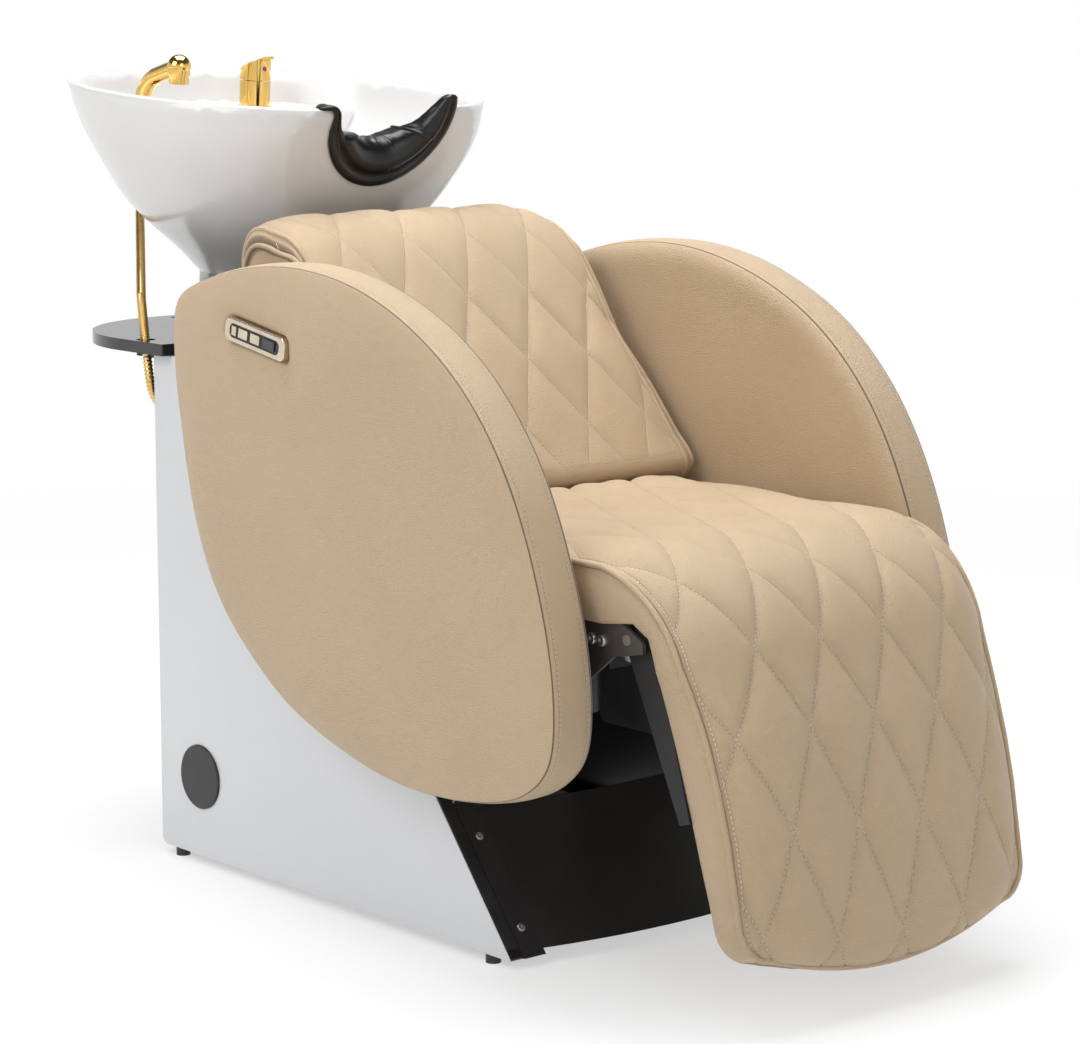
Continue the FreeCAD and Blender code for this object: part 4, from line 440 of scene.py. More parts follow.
def leather_material(name, quilted, seam_rows, seam_shadow):
    """Cream leather. seam_rows are stitched rows and seam_shadow the reach of the painted shade beside the
    seam, from the seam.
    """
    material, tree, shader = new_material(
        name, leather_light, 0.46, Specular_IOR_Level=0.42, Sheen_Weight=0.12, Sheen_Roughness=0.4)
    grain = add_node(tree, "Group", node_tree=pebble_group).outputs

    op = partial(calc, tree)

    rows = []
    if quilted:
        u, q = uv_parts(tree, "quilt")[:2]
        slope = math.atan2(quilt_along, quilt_across)
        for sign in (1, -1):
            first = op("DIVIDE", u, quilt_across * mm)
            second = op("MULTIPLY", q, sign / (quilt_along * mm))
            phase = op("SUBTRACT", op("FRACT", op("ADD", first, second)), 0.5)
            run_u = op("MULTIPLY", u, math.cos(slope))
            run_q = op("MULTIPLY", q, -sign * math.sin(slope))
            rows.append(thread_row(tree, op("ADD", run_u, run_q), op("MULTIPLY", phase, quilt_steep * mm)))
    if seam_rows:
        run, off = uv_parts(tree, "seam")[:2]
        for centre in seam_rows:
            rows.append(thread_row(tree, run, op("SUBTRACT", off, centre * mm)))
    height = grain["Height"]
    tone = colour_ramp(tree, grain["Tone"], leather_dark, leather_light, 0.32, 0.6)
    # Painted shade: the creases between the pebbles are darkened in the colour.
    colour = mix_colour(tree, op("MULTIPLY", grain["Crease"], 0.42), tone, leather_crease_shade)
    if rows:
        thread, channel = rows[0]
        for other_thread, other_channel in rows[1:]:
            thread = op("MAXIMUM", thread, other_thread)
            channel = op("MAXIMUM", channel, other_channel)
        # Painted shade: the stitched lines' grooves are darkened in the colour.
        colour = mix_colour(tree, op("MULTIPLY", channel, 0.42), colour, stitch_groove_shade_colour)
        # Painted shade: a dark band along the seam that fades out over seam_shadow from it.
        near = op("DIVIDE", op("ABSOLUTE", off), seam_shadow * mm)
        seam_shade = op("MAXIMUM", op("SUBTRACT", 1, op("POWER", near, 3)), 0)
        colour = mix_colour(tree, op("MULTIPLY", seam_shade, 0.9), colour, seam_shade_colour)
        colour = mix_colour(tree, thread, colour, thread_colour)
        sewn = op("ADD", op("MULTIPLY", channel, -0.9), op("MULTIPLY", thread, 0.4))
        height = op("ADD", height, sewn)
    feed(tree, colour, shader.inputs["Base Color"])
    feed(tree, op("MULTIPLY_ADD", grain["Tone"], 0.12, 0.40), shader.inputs["Roughness"])
    add_bump(tree, shader, height, 0.0011)
    return material


quilted_leather = leather_material("quilted_cream_leather", True, (stitch_seam_offset,), 4.6)
plain_leather = leather_material("cream_leather", False, (-stitch_seam_offset,), 1.7)
piping_leather = leather_material("cream_piping_leather", False, (), 0)


def ease(value):
    value = np.clip(value, 0, 1)
    return value * value * (3 - 2 * value)


def crown_share(inset, run):
    return 1 - (1 - np.clip(inset / run, 0, 1)) ** 3


def quilt_puff(u, q, slim):
    """Rise of the padding between the stitched lines, which lie below the plain face."""
    product = np.ones_like(u)
    for sign in (1, -1):
        phase = np.abs((u / quilt_across + sign * q / quilt_along) % 1 - 0.5) * quilt_steep
        product = product * (1 - np.exp(-phase / quilt_falloff))
    return (product - quilt_sink) * slim * quilt_depth


# Seat and leg rest: one long cushion with a continuous quilted top, plain boxing down its sides and
# piping in the seam. Its rails run from under the backrest over the knee and down the leg rest.
seat_half = 244
seat_rear = -448
seat_front = -832
seat_crest = 500
seat_seam = 480
seat_under = 418
crown_run = 116
seat_rear_run = 40
boxing_draw = 4
quilt_depth = 6.8
quilt_falloff = 8.5
quilt_sink = 0.55
piping_step = 4
seat_piping_radius = 3.4
knee = np.array((-868, 404))
leg_lean = math.radians(16.7)
leg_down = np.array((-math.sin(leg_lean), -math.cos(leg_lean)))
leg_out = np.array((-math.cos(leg_lean), math.sin(leg_lean)))
leg_back = 33
leg_start = 40
leg_end = 362
leg_bow = 33
leg_corner = 42
leg_half_places = ((40, 237), (62, 234), (95, 231), (130, 229), (231, 226.5), (362, 224))
leg_seam_places = ((40, 71), (95, 78.5), (130, 81.5), (180, 83), (231, 81.5), (290, 75.5),
                   (332, 71), (362, 68))
leg_crest_places = ((40, 104), (95, 110.5), (130, 113), (180, 111.5), (231, 107.5), (290, 100.5),
                    (325, 94), (345, 87), (356, 79), (362, 70))
knee_crest_middle = (-910, 476)
knee_seam_middle = (-908, 443)
knee_under_spots = ((-832, 418), (-880, 424), (-901, 410), (-911, 375))
station_step = 3.4
crown_columns = 132
unquilted = 9000


def arc_through(first, middle, last, count):
    """Points on the circle arc through three places in a plane."""
    first, middle, last = (np.asarray(spot, float) for spot in (first, middle, last))
    side = 2 * np.array((middle - first, last - first))
    square = np.array((middle @ middle - first @ first, last @ last - first @ first))
    centre = np.linalg.solve(side, square)
    start = math.atan2(*(first - centre)[::-1])
    sweep = (math.atan2(*(last - centre)[::-1]) - start + math.pi) % (2 * math.pi) - math.pi
    radius = np.linalg.norm(first - centre)
    turns = start + sweep * np.linspace(0, 1, count)
    return centre + radius * np.stack((np.cos(turns), np.sin(turns)), axis=1)


def leg_spot(run, out):
    return knee + run * leg_down + out * leg_out


def table(places_at, run):
    return np.interp(run, [spot[0] for spot in places_at], [spot[1] for spot in places_at])


def cushion_stations():
    """Crest, seam and underside places with half width, leg rest bow share and crown share, all along the
    cushion.
    """
    stations = []
    count = int((seat_rear - seat_front) / station_step)
    for y in np.linspace(seat_rear, seat_front, count):
        share = crown_share(seat_rear - y, seat_rear_run)
        stations.append(((y, seat_seam + (seat_crest - seat_seam) * share), (y, seat_seam), (y, seat_under),
                         seat_half, 0, share))
    crest_end = leg_spot(leg_start, leg_crest_places[0][1])
    seam_end = leg_spot(leg_start, leg_seam_places[0][1])
    count = 56
    crest = arc_through((seat_front, seat_crest), knee_crest_middle, crest_end, count)
    seam = arc_through((seat_front, seat_seam), knee_seam_middle, seam_end, count)
    under = np.array(knee_under_spots)
    runs = np.linspace(0, 1, len(under))
    for index in range(1, count):
        share = index / (count - 1)
        low = (np.interp(share, runs, under[:, 0]), np.interp(share, runs, under[:, 1]))
        half = seat_half + (leg_half_places[0][1] - seat_half) * ease(share)
        stations.append((tuple(crest[index]), tuple(seam[index]), low, half, 0, 1))
    count = int((leg_end - leg_start) / station_step)
    for run in np.linspace(leg_start, leg_end, count)[1:]:
        half = table(leg_half_places, run)
        corner = max(0, run - (leg_end - leg_corner))
        half -= leg_corner - math.sqrt(max(0, leg_corner ** 2 - corner ** 2))
        stations.append((tuple(leg_spot(run, table(leg_crest_places, run))),
                         tuple(leg_spot(run, table(leg_seam_places, run))),
                         tuple(leg_spot(run, leg_back)), half, ease((run - 180) / (leg_end - 180)), 1))
    return stations


def quilt_runs(stations):
    """Run along the crest, stretched so that the rows of crossings lie where the photograph has them."""
    crest = np.array([station[0] for station in stations])
    runs = run_lengths(crest)

    def run_near(spot):
        return runs[np.argmin(np.linalg.norm(crest - np.asarray(spot), axis=1))]

    known = [(run_near((seat_rear, seat_crest)), -364), (run_near((-812, seat_crest)), 0),
             (run_near(knee_crest_middle), 98.5), (run_near((-976, 403)), 197),
             (run_near((-1013, 314)), 295.5), (run_near((-1037, 213)), 394),
             (run_near((-1056, 114)), 492.5), (runs[-1], 492.5 + runs[-1] - run_near((-1056, 114)))]
    return np.interp(runs, [spot[0] for spot in known], [spot[1] for spot in known]), runs


def cushion_cover():
    stations = cushion_stations()
    quilt_at, runs = quilt_runs(stations)
    wall = np.linspace(0, 1, 14)[1:]
    base = np.linspace(1, -1, 14)[1:-1]
    rings, quilt_map, seam_map = [], [], []
    for number, (crest, seam, under, half, bow, share) in enumerate(stations):
        crest, seam, under = (np.asarray(spot) for spot in (crest, seam, under))
        edge = half - boxing_draw
        top_x = np.linspace(-1, 1, crown_columns) * edge
        inset = edge - np.abs(top_x)
        top = seam + (crest - seam) * crown_share(inset, crown_run)[:, None]
        down = (under - crest) / np.linalg.norm(under - crest)
        slim = ease(inset / 16) * ease(share * 1.4)
        crease = 1.6 * np.exp(-((inset - 5) / 5) ** 2)
        rise = quilt_puff(top_x, quilt_at[number], slim) - crease
        side = np.column_stack((edge + boxing_draw * np.sin(math.pi * wall),
                                seam + np.outer(wall, under - seam)))
        below = np.column_stack((base * edge, np.tile(under, (len(base), 1))))
        ring = np.vstack((np.column_stack((top_x, top - np.outer(rise, down))), side, below,
                          side[::-1] * (-1, 1, 1)))
        bend = leg_bow * bow * (1 - np.clip(ring[:, 0] / half, -1, 1) ** 2)
        ring[:, 1:] += np.outer(bend, leg_down)
        rings.append(places(ring))
        depth = np.linalg.norm(under - seam)
        off = np.concatenate((inset, -depth * wall, np.full(len(base), -depth - 9), -depth * wall[::-1]))
        plain = np.full(len(off) - crown_columns, unquilted)
        rows = np.append(np.full(crown_columns, quilt_at[number]), plain)
        quilt_map.append(np.column_stack((np.append(top_x, plain), rows)) * mm)
        seam_map.append(np.column_stack((np.full(len(off), runs[number]), off)) * mm)
    return rings, {"quilt": quilt_map, "seam": seam_map}, stations


def settle(mesh, amount, scale, seed):
    """Slow unevenness of the padding along the normals."""
    spots, normals = np.zeros((2, len(mesh.vertices), 3))
    mesh.vertices.foreach_get("co", spots.ravel())
    mesh.vertices.foreach_get("normal", normals.ravel())
    move = Vector((seed * 3.7, seed * 1.3, -seed * 2.1))
    shift = np.array([noise.noise(Vector(spot) * scale + move) for spot in spots]) * amount * mm
    spots = spots + normals * shift[:, None]
    mesh.vertices.foreach_set("co", spots.ravel())
    mesh.update()


def piping(name, line, radius):
    points, runs = even_points(line, piping_step * mm)
    rings = tube_rings(points, np.full(len(points), radius * mm), 10)
    return new_piece(name, ring_mesh(name, rings), piping_leather)


cover_rings, cover_maps, cover_stations = cushion_cover()
cover_mesh = ring_mesh("seat_and_leg_cover", cover_rings, cover_maps)
settle(cover_mesh, 1.1, 14, 1)
seat_cover = new_piece("seat_and_leg_cover", cover_mesh, quilted_leather)
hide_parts("seat_cushion", "knee_roll", "legrest_cushion")
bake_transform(seat_cover)

pipe_line = []
for crest, seam, under, half, bow, share in cover_stations:
    bend = leg_bow * bow * (1 - ((half - boxing_draw) / half) ** 2)
    pipe_line.append((half - boxing_draw + 0.6, seam[0] + bend * leg_down[0], seam[1] + bend * leg_down[1]))
last_half = cover_stations[-1][3] - boxing_draw
last_seam = np.asarray(cover_stations[-1][1])
turn = [(x, *(last_seam + leg_bow * (1 - (x / cover_stations[-1][3]) ** 2) * leg_down))
        for x in np.linspace(last_half, -last_half, 40)[1:-1]]
far_side = [(-x, y, z) for x, y, z in pipe_line[::-1]]
seat_piping = piping("seat_and_leg_piping", places(pipe_line + turn + far_side), seat_piping_radius)
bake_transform(seat_piping)


# Backrest: quilted front that wraps over the top, plain tan shell behind, and end faces with two
# rows of piping. It stands on the rear frame with its face leaning back.
back_lean = math.radians(36.6)
back_down = np.array((-math.sin(back_lean), -math.cos(back_lean)))
back_out = np.array((-math.cos(back_lean), math.sin(back_lean)))
back_front_top = np.array((-215, 817))
back_origin = back_front_top - back_out * 108
back_top_half = 218
back_foot_half = 239
back_length = 398
back_crest = 131.6
back_seam = 107.6
back_rise = 34
back_corner = 36
back_piping_radius = 3.2
back_middle = (200, 62)
back_drop = 18
spline_pieces = 60
back_profile = (
    (402, 4, 0), (403, 30, 0), (403, 70, 0), (403, 108, 0.6), (399, 122, 0.9),
    (372, 129, 1), (300, 131, 1), (200, 132, 1), (110, 131, 1), (50, 126, 1),
    (14, 113, 0.8), (-14, 92, 0.5), (-30, 68, 0.3), (-33, 46, 0.2), (-26, 24, 0.2),
    (-8, 7, 0.2), (30, 1, 0.1), (130, 0, 0), (260, 0, 0), (380, 0, 0),
)


def closed_spline(spots, count):
    """Smooth closed line through a few places, by periodic cubic pieces, at an even spread."""
    spots = np.asarray(spots, float)
    after = np.roll(spots, -1, axis=0)
    step = np.linalg.norm(after - spots, axis=1)[:, None]
    slope = (after - spots) / step
    system = np.diag(2 * (step + np.roll(step, 1, axis=0))[:, 0])
    for index in range(len(spots)):
        system[index, index - 1] = system[index - 1, index] = step[index - 1, 0]
    bend = np.linalg.solve(system, 6 * (slope - np.roll(slope, 1, axis=0)))
    bend_after = np.roll(bend, -1, axis=0)
    part = np.linspace(0, 1, spline_pieces, endpoint=False)[:, None, None] * step
    rest = step - part
    fine = ((bend * rest ** 3 + bend_after * part ** 3) / (6 * step) + (spots / step - bend * step / 6) * rest
            + (after / step - bend_after * step / 6) * part)
    fine = fine.swapaxes(0, 1).reshape(-1, spots.shape[1])
    around = np.vstack((fine, fine[:1]))
    runs = run_lengths(around)
    wanted = np.linspace(0, runs[-1], count, endpoint=False)
    return np.stack([np.interp(wanted, runs, axis) for axis in around.T], axis=1)


def back_spot(run, out):
    return back_origin + np.multiply.outer(run, back_down) + np.multiply.outer(out, back_out)


def backrest_cover():
    loop = closed_spline([spot[:2] for spot in back_profile], 300)
    run, out = loop[:, 0], loop[:, 1]
    face = ease((out - 40) / 60) * ease((396 - run) / 30)
    over_top = ease((60 - run) / 80)
    around = loop_lengths(loop)
    front_mark = np.argmin(np.abs(run - 233) + 1000 * (out < 100))
    quilt_at = around[front_mark] - around + 197
    ends = [0.02, 0.35, 0.7, 0.92]
    rings, quilt_map, seam_map = [], [], []
    middle_run, middle_out = back_middle
    half_here = back_top_half + (back_foot_half - back_top_half) * np.clip(run / back_length, 0, 1)

    def add_end(side, share):
        spots = back_spot(middle_run + (run - middle_run) * share, middle_out + (out - middle_out) * share)
        drop = back_drop * (1 - crown_share(np.array(0), crown_run)) * face
        spots = spots + np.outer(over_top * back_corner * 0.75 * share, back_down) - np.outer(drop * share,
                                                                                              back_out)
        rings.append(places(np.column_stack((side * (half_here + 3 * (1 - share ** 2)), spots))))
        quilt_map.append(np.full((len(run), 2), far_from_seam))
        seam_map.append(np.column_stack((around, np.full(len(run), -(1 - share) * 60))) * mm)

    for share in ends:
        add_end(-1, share)
    for part in np.linspace(-1, 1, 130):
        x = part * half_here
        inset = half_here - np.abs(x)
        share = crown_share(inset, crown_run)
        drop = back_drop * (1 - share) * face + 4 * (1 - crown_share(inset, 24))
        corner = np.clip(back_corner - inset, 0, back_corner)
        corner_drop = (back_corner - np.sqrt(back_corner ** 2 - corner ** 2)) * 0.75
        spots = back_spot(run + over_top * corner_drop, out)
        centre_pull = np.column_stack((middle_run - run, middle_out - out))
        centre_pull /= np.linalg.norm(centre_pull, axis=1)[:, None]
        move = drop - quilt_puff(x, quilt_at, face * ease(inset / 18))
        pull = centre_pull * move[:, None]
        spots = spots + np.outer(pull[:, 0], back_down) + np.outer(pull[:, 1], back_out)
        rings.append(places(np.column_stack((x, spots))))
        near_front = face > 0.35
        quilt_map.append(np.column_stack([np.where(near_front, value, unquilted) for value in (x,
                                                                                               quilt_at)]) * mm)
        seam_map.append(np.column_stack((around, inset)) * mm)
    for share in ends[::-1]:
        add_end(1, share)
    return rings, {"quilt": quilt_map, "seam": seam_map}, len(ends)


back_rings, back_maps, back_ends = backrest_cover()
back_mesh = ring_mesh("backrest_cover", back_rings, back_maps)
settle(back_mesh, 1, 13, 2)
backrest_cover_piece = new_piece("backrest_cover", back_mesh, quilted_leather)
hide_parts("backrest_cushion", "backrest_shell")
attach(backrest_cover_piece, "frame")
for side, ring_number in (("right", back_ends), ("left", len(back_rings) - back_ends - 1)):
    for row, step in (("outer", 0), ("inner", 3)):
        number = ring_number + step if side == "right" else ring_number - step
        ring = back_rings[number]
        line = np.vstack((ring, ring[:2]))
        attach(piping("backrest_piping_" + side + "_" + row, line, back_piping_radius), "frame")


# Armrests: a plain crowned pad on each side, with a band sewn between its two faces. Padding over a
# board, all covered in the same leather, and a key panel let into the right one's outer face.
arm_rear = -142
arm_length = 703
arm_bottom = 201
arm_height = 577
arm_inner = 254.9
arm_inner_seam = 264.4
arm_outer_seam = 318.5
arm_outer = 328.5
arm_outline_shares = (
    (0.011, 0.903), (0.081, 0.950), (0.199, 0.986), (0.339, 1), (0.474, 0.983),
    (0.629, 0.922), (0.778, 0.808), (0.893, 0.640), (0.967, 0.433), (1, 0.215),
    (0.985, 0.115), (0.926, 0.050), (0.822, 0.014), (0.698, 0), (0.488, 0.033),
    (0.239, 0.161), (0.083, 0.366), (0.014, 0.653), (0, 0.841),
)
key_middle = (-325, 691)
key_turn = math.radians(9.5)
bezel_half_length = 59
bezel_half_width = 14
bezel_corner = 9
arm_band_columns = 9


def arm_loop(inset):
    spots = [(arm_rear - along * arm_length, arm_bottom + up * arm_height) for along, up in arm_outline_shares]
    loop = closed_spline(spots, 420)
    middle = np.array((arm_rear - arm_length / 2, arm_bottom + arm_height / 2))
    shrink = np.array((1 - 2 * inset / arm_length, 1 - 2 * inset / arm_height))
    return middle + (loop - middle) * shrink


def key_distance(spots):
    """Distance outside the bezel's outline, and the place along and across it."""
    away = spots - np.array(key_middle)
    along = -away[:, 0] * math.cos(key_turn) - away[:, 1] * math.sin(key_turn)
    across = -away[:, 0] * math.sin(key_turn) + away[:, 1] * math.cos(key_turn)
    beyond = np.stack((np.abs(along) - bezel_half_length, np.abs(across) - bezel_half_width),
                      axis=1) + bezel_corner
    outside = np.linalg.norm(np.maximum(beyond, 0), axis=1) + np.minimum(beyond.max(axis=1), 0) - bezel_corner
    return outside, along, across


def armrest_cover(side):
    """Rings from the inner face's middle over the band to the outer face's middle."""
    inner_insets = list(np.linspace(278, 40, 22)) + [32, 24, 17, 11, 7, 4, 2.2]
    outer_insets = [2.2, 4, 7, 11, 15, 19, 24] + list(np.arange(28, 282, 4))
    rows = []
    for inset in inner_insets:
        share = crown_share(inset, 34)
        rows.append((arm_inner_seam - (arm_inner_seam - arm_inner) * share, inset, inset))
    rows.append((arm_inner_seam, 1.5, 0))
    for part in np.linspace(0, 1, arm_band_columns)[1:-1]:
        x = arm_inner_seam + (arm_outer_seam - arm_inner_seam) * part
        rows.append((x, -2 * math.sin(math.pi * part),
                     -min(part, 1 - part) * (arm_outer_seam - arm_inner_seam)))
    rows.append((arm_outer_seam, 1.5, 0))
    for inset in outer_insets:
        share = crown_share(inset, 90)
        rows.append((arm_outer_seam + (arm_outer - arm_outer_seam) * share, inset, inset))
    rings, seam_map = [], []
    for x, inset, off in rows:
        loop = arm_loop(inset)
        loop_x = np.full(len(loop), x)
        if side < 0 and x > arm_outer_seam + 1:
            outside, along, across = key_distance(loop)
            loop_x = loop_x - 9 * ease((3 - outside) / 5)
            loop_x = loop_x - 2.6 * np.exp(-np.maximum(outside, 0) / 9)
            fan = np.exp(-((along - 66) / 18) ** 2 - ((across + 22) / 14) ** 2)
            loop_x = loop_x - 4.5 * fan
        around = loop_lengths(loop)
        rings.append(places(np.column_stack((side * loop_x, loop))))
        seam_map.append(np.column_stack((around, np.full(len(loop), off))) * mm)
    return rings, {"seam": seam_map}


for side, side_name in ((-1, "right"), (1, "left")):
    rings, maps = armrest_cover(side)
    mesh = ring_mesh("armrest_cover_" + side_name, rings, maps)
    settle(mesh, 1.2, 9, 3 + side)
    cover = new_piece("armrest_cover_" + side_name, mesh, plain_leather)
    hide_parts("armrest_outer_pad_" + side_name, "armrest_inner_pads")
    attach(cover, "frame")


# Key panel: champagne bezel with a polished black insert, three champagne keys and one dark key.
dress(finish("champagne_satin", (0.62, 0.53, 0.41), (0.72, 0.63, 0.50), 0.22, 0.06, 0.95, 0.01, 40, 1500),
      "key_bezel", "light_key", "legrest_up_key", "legrest_down_key")
dress(finish("polished_black", (0.008, 0.008, 0.009), (0.014, 0.014, 0.015), 0.08, 0.03, 0, 0, 20, 900),
      "key_insert")
dress(finish("dark_key", (0.03, 0.03, 0.034), (0.05, 0.05, 0.055), 0.25, 0.05, 0, 0, 30, 900),
      "power_key")
dress(finish("green_laminate", (0.03, 0.14, 0.07), (0.05, 0.20, 0.10), 0.4, 0.1, 0, 0.02, 60, 900),
      "key_circuit_board")


# Side panels: board sprayed in silver-grey satin lacquer outside and primed black inside.
lacquer_depth = 1
primer = (0.014, 0.014, 0.015)
lacquer = finish(
    "silver_grey_lacquer", (0.60, 0.605, 0.62), (0.63, 0.637, 0.655), 0.28, 0.05, 0.15, 0.012, 2, 2400,
    Coat_Weight=0.35, Coat_Roughness=0.22)
lacquer_tree = lacquer.node_tree
lacquer_base = lacquer_tree.nodes["Principled BSDF"].inputs["Base Color"]
panel_x = add_node(lacquer_tree, "SeparateXYZ", {"Vector": object_place(lacquer_tree)}).outputs[0]
panel_across = calc(lacquer_tree, "ABSOLUTE", calc(lacquer_tree, "SUBTRACT", panel_x, middle_x))
primed = calc(lacquer_tree, "LESS_THAN", panel_across, panel_left[1].x - middle_x - lacquer_depth * mm)
feed(lacquer_tree, mix_colour(lacquer_tree, primed, lacquer_base.links[0].from_socket, primer), lacquer_base)
dress(lacquer, "side_panel_right", "side_panel_left")


# Cabinet and mechanism: black board and sheet, painted tube, dark and zinc-plated steel, black
# plastic, and plywood boards under the upholstery.
dress(finish("black_satin_board", (0.018, 0.018, 0.019), (0.028, 0.028, 0.030), 0.15, 0.06, 0, 0.02, 5, 1200),
      "shelf")
dress(finish("black_powder_coat", (0.014, 0.014, 0.015), (0.024, 0.024, 0.026), 0.36, 0.10, 0, 0.03, 8, 1500),
      "front_apron", "rear_service_cover")
dress(finish("matt_black_paint", (0.008, 0.008, 0.009), (0.015, 0.015, 0.016), 0.6, 0.15, 0, 0.04, 9, 800),
      "base_frame", "rear_frame", "seat_cross_tubes", "basin_carrier", "tilt_cradle", "back_brackets",
      "legrest_arms", "panel_angles", "drive_clamp")
dress(finish("black_moulded_plastic", (0.012, 0.012, 0.013), (0.022, 0.022, 0.024), 0.40, 0.10, 0, 0.04, 20,
             1800),
      "access_caps", "panel_edge_strips", "feet", "drive_motor", "power_inlet", "control_box")
dress(finish("bright_zinc_plate", (0.50, 0.51, 0.52), (0.64, 0.65, 0.67), 0.32, 0.16, 1, 0.03, 40, 600),
      "basin_tilt_pin", "frame_bolts", "sheet_screws", "legrest_pins", "drive_tube", "drive_rod")
dress(finish("dark_pressed_steel", (0.10, 0.10, 0.105), (0.16, 0.16, 0.165), 0.34, 0.10, 0.75, 0.03, 9, 800),
      "seat_side_plates")

plywood, plywood_tree, plywood_shader = new_material("birch_plywood", (0.66, 0.50, 0.33), 0.6)
plies = add_node(plywood_tree, "TexWave", {"Vector": object_place(plywood_tree), "Scale": 14,
                                           "Distortion": 6, "Detail": 3})
feed(plywood_tree, colour_ramp(plywood_tree, plies.outputs["Fac"], (0.58, 0.42, 0.26), (0.70, 0.54, 0.37)),
     plywood_shader.inputs["Base Color"])
dress(plywood, "seat_board", "legrest_board", "back_board", "armrest_cores")


# Basin: one glazed ceramic casting, white, with a softly rounded rim and edges. It leans with its
# tilted pin, so the flat ring of its rim is found in the basin's own frame.
white_glaze = finish(
    "white_glaze", (0.630, 0.620, 0.610), (0.670, 0.663, 0.655), 0.20, 0.03, 0, 0.01, 5, 300,
    Coat_Weight=0.3, Coat_Roughness=0.12)
basin_lean = math.radians(4.1)
basin_pivot = (150, 684)
rim_level = 967
rim_tolerance = 0.3
rim_crown = 2.4
basin_weld = 0.02
basin_smooth_angle = math.radians(42)


def crowned_basin():
    """Merged copy of the CAD basin whose flat rim ring is crowned, as glaze rounds it in the kiln."""
    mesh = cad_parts["basin"].data.copy()
    mesh.name = "basin_ceramic"
    up = Vector((0, -math.sin(basin_lean), math.cos(basin_lean)))
    pivot = place(0, *basin_pivot)
    level = (rim_level - basin_pivot[1]) * mm
    work = bmesh.new()
    work.from_mesh(mesh)
    bmesh.ops.remove_doubles(work, verts=work.verts, dist=basin_weld * mm)
    ring = {vert for vert in work.verts if abs((vert.co - pivot).dot(up) - level) < rim_tolerance * mm}
    spokes = [edge for edge in work.edges if all(set(face.verts) <= ring for face in edge.link_faces)]
    for part in bmesh.ops.subdivide_edges(work, edges=spokes, cuts=1)["geom_inner"]:
        if isinstance(part, bmesh.types.BMVert):
            part.co += up * (rim_crown * mm)
    bmesh.ops.triangulate(work, faces=work.faces)
    work.to_mesh(mesh)
    work.free()
    mesh.shade_smooth()
    mesh.set_sharp_from_angle(angle=basin_smooth_angle)
    return mesh


basin_piece = new_piece("basin_ceramic", crowned_basin(), white_glaze)
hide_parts("basin")
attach(basin_piece, "basin")


# Neck rest: a soft gel saddle in the basin's notch, moulded in satin black. A thick pad fills the
# notch, a lip hooks over its front edge, a flap turns over the rim and a long wing runs up the far side.
rubber = finish(
    "black_gel_rubber", (0.0035, 0.0035, 0.004), (0.008, 0.008, 0.009), 0.30, 0.10, 0, 0.06, 18, 420,
    Specular_IOR_Level=0.42)
notch_middle = 963
notch_radius = 88
front_face = -151
front_face_lean = 0.45
# turn about the notch, thickness, lip reach, lip height, rear edge
neck_table = (
    (-100, 2.5, 1, 2, -134), (-97, 4, 1.5, 3, -131), (-92, 5, 2, 4, -127),
    (-87, 6, 4, 5, -120), (-76, 10, 8, 6.5, -104), (-68, 17, 9.5, 7, -88),
    (-61, 31, 9.5, 7, -78), (-54, 40, 9.5, 7, -75), (-40, 46, 9.5, 7, -73),
    (0, 52, 9.5, 7, -72), (35, 48, 9.5, 7, -73), (50, 43, 9.5, 7, -77),
    (59, 40, 9.5, 7, -84), (63, 35, 9.5, 7, -90), (72, 30, 9.5, 7, -106),
    (84, 25, 9, 6.5, -120), (94, 19, 8, 6, -132), (101, 12, 6, 5, -142),
    (104, 6, 3, 3, -149),
)
flap_path = ((-115, 968.6), (-106, 969.6), (-98, 969.4), (-91.5, 966.6), (-88.4, 961), (-87.4, 954))
welt_turn = 60
wrinkle_turns = (12, 16.5, 20, 25)


def basin_place(x, y, z):
    """Row-frame point of a place given for the level basin."""
    y, z = np.asarray(y, float) - basin_pivot[0], np.asarray(z, float) - basin_pivot[1]
    turned_y = basin_pivot[0] + y * math.cos(basin_lean) - z * math.sin(basin_lean)
    turned_z = basin_pivot[1] + y * math.sin(basin_lean) + z * math.cos(basin_lean)
    return places(np.column_stack((np.broadcast_to(x, turned_y.shape), turned_y, turned_z)))


def neck_stations():
    """Places over the rim and along the notch, the direction into the hollow, and the table's turn."""
    turns = np.linspace(-84, 104, 60)
    reach = notch_radius - 0.6
    arc = [(reach * math.sin(math.radians(turn)), notch_middle - reach * math.cos(math.radians(turn)))
           for turn in turns]
    spots = np.array(flap_path[:-1] + tuple(arc))
    marks = np.concatenate((np.linspace(-100, -86, len(flap_path) - 1), turns))
    runs = run_lengths(spots)
    even = np.linspace(0, runs[-1], 190)
    x, z = (np.interp(even, runs, spots[:, axis]) for axis in (0, 1))
    mark = np.interp(even, runs, marks)
    for smooth_pass in range(6):
        x[1:-1] = (x[:-2] + x[2:]) / 4 + x[1:-1] / 2
        z[1:-1] = (z[:-2] + z[2:]) / 4 + z[1:-1] / 2
    run_x, run_z = np.gradient(x), np.gradient(z)
    size = np.hypot(run_x, run_z)
    return zip(x, z, -run_z / size, run_x / size, mark)


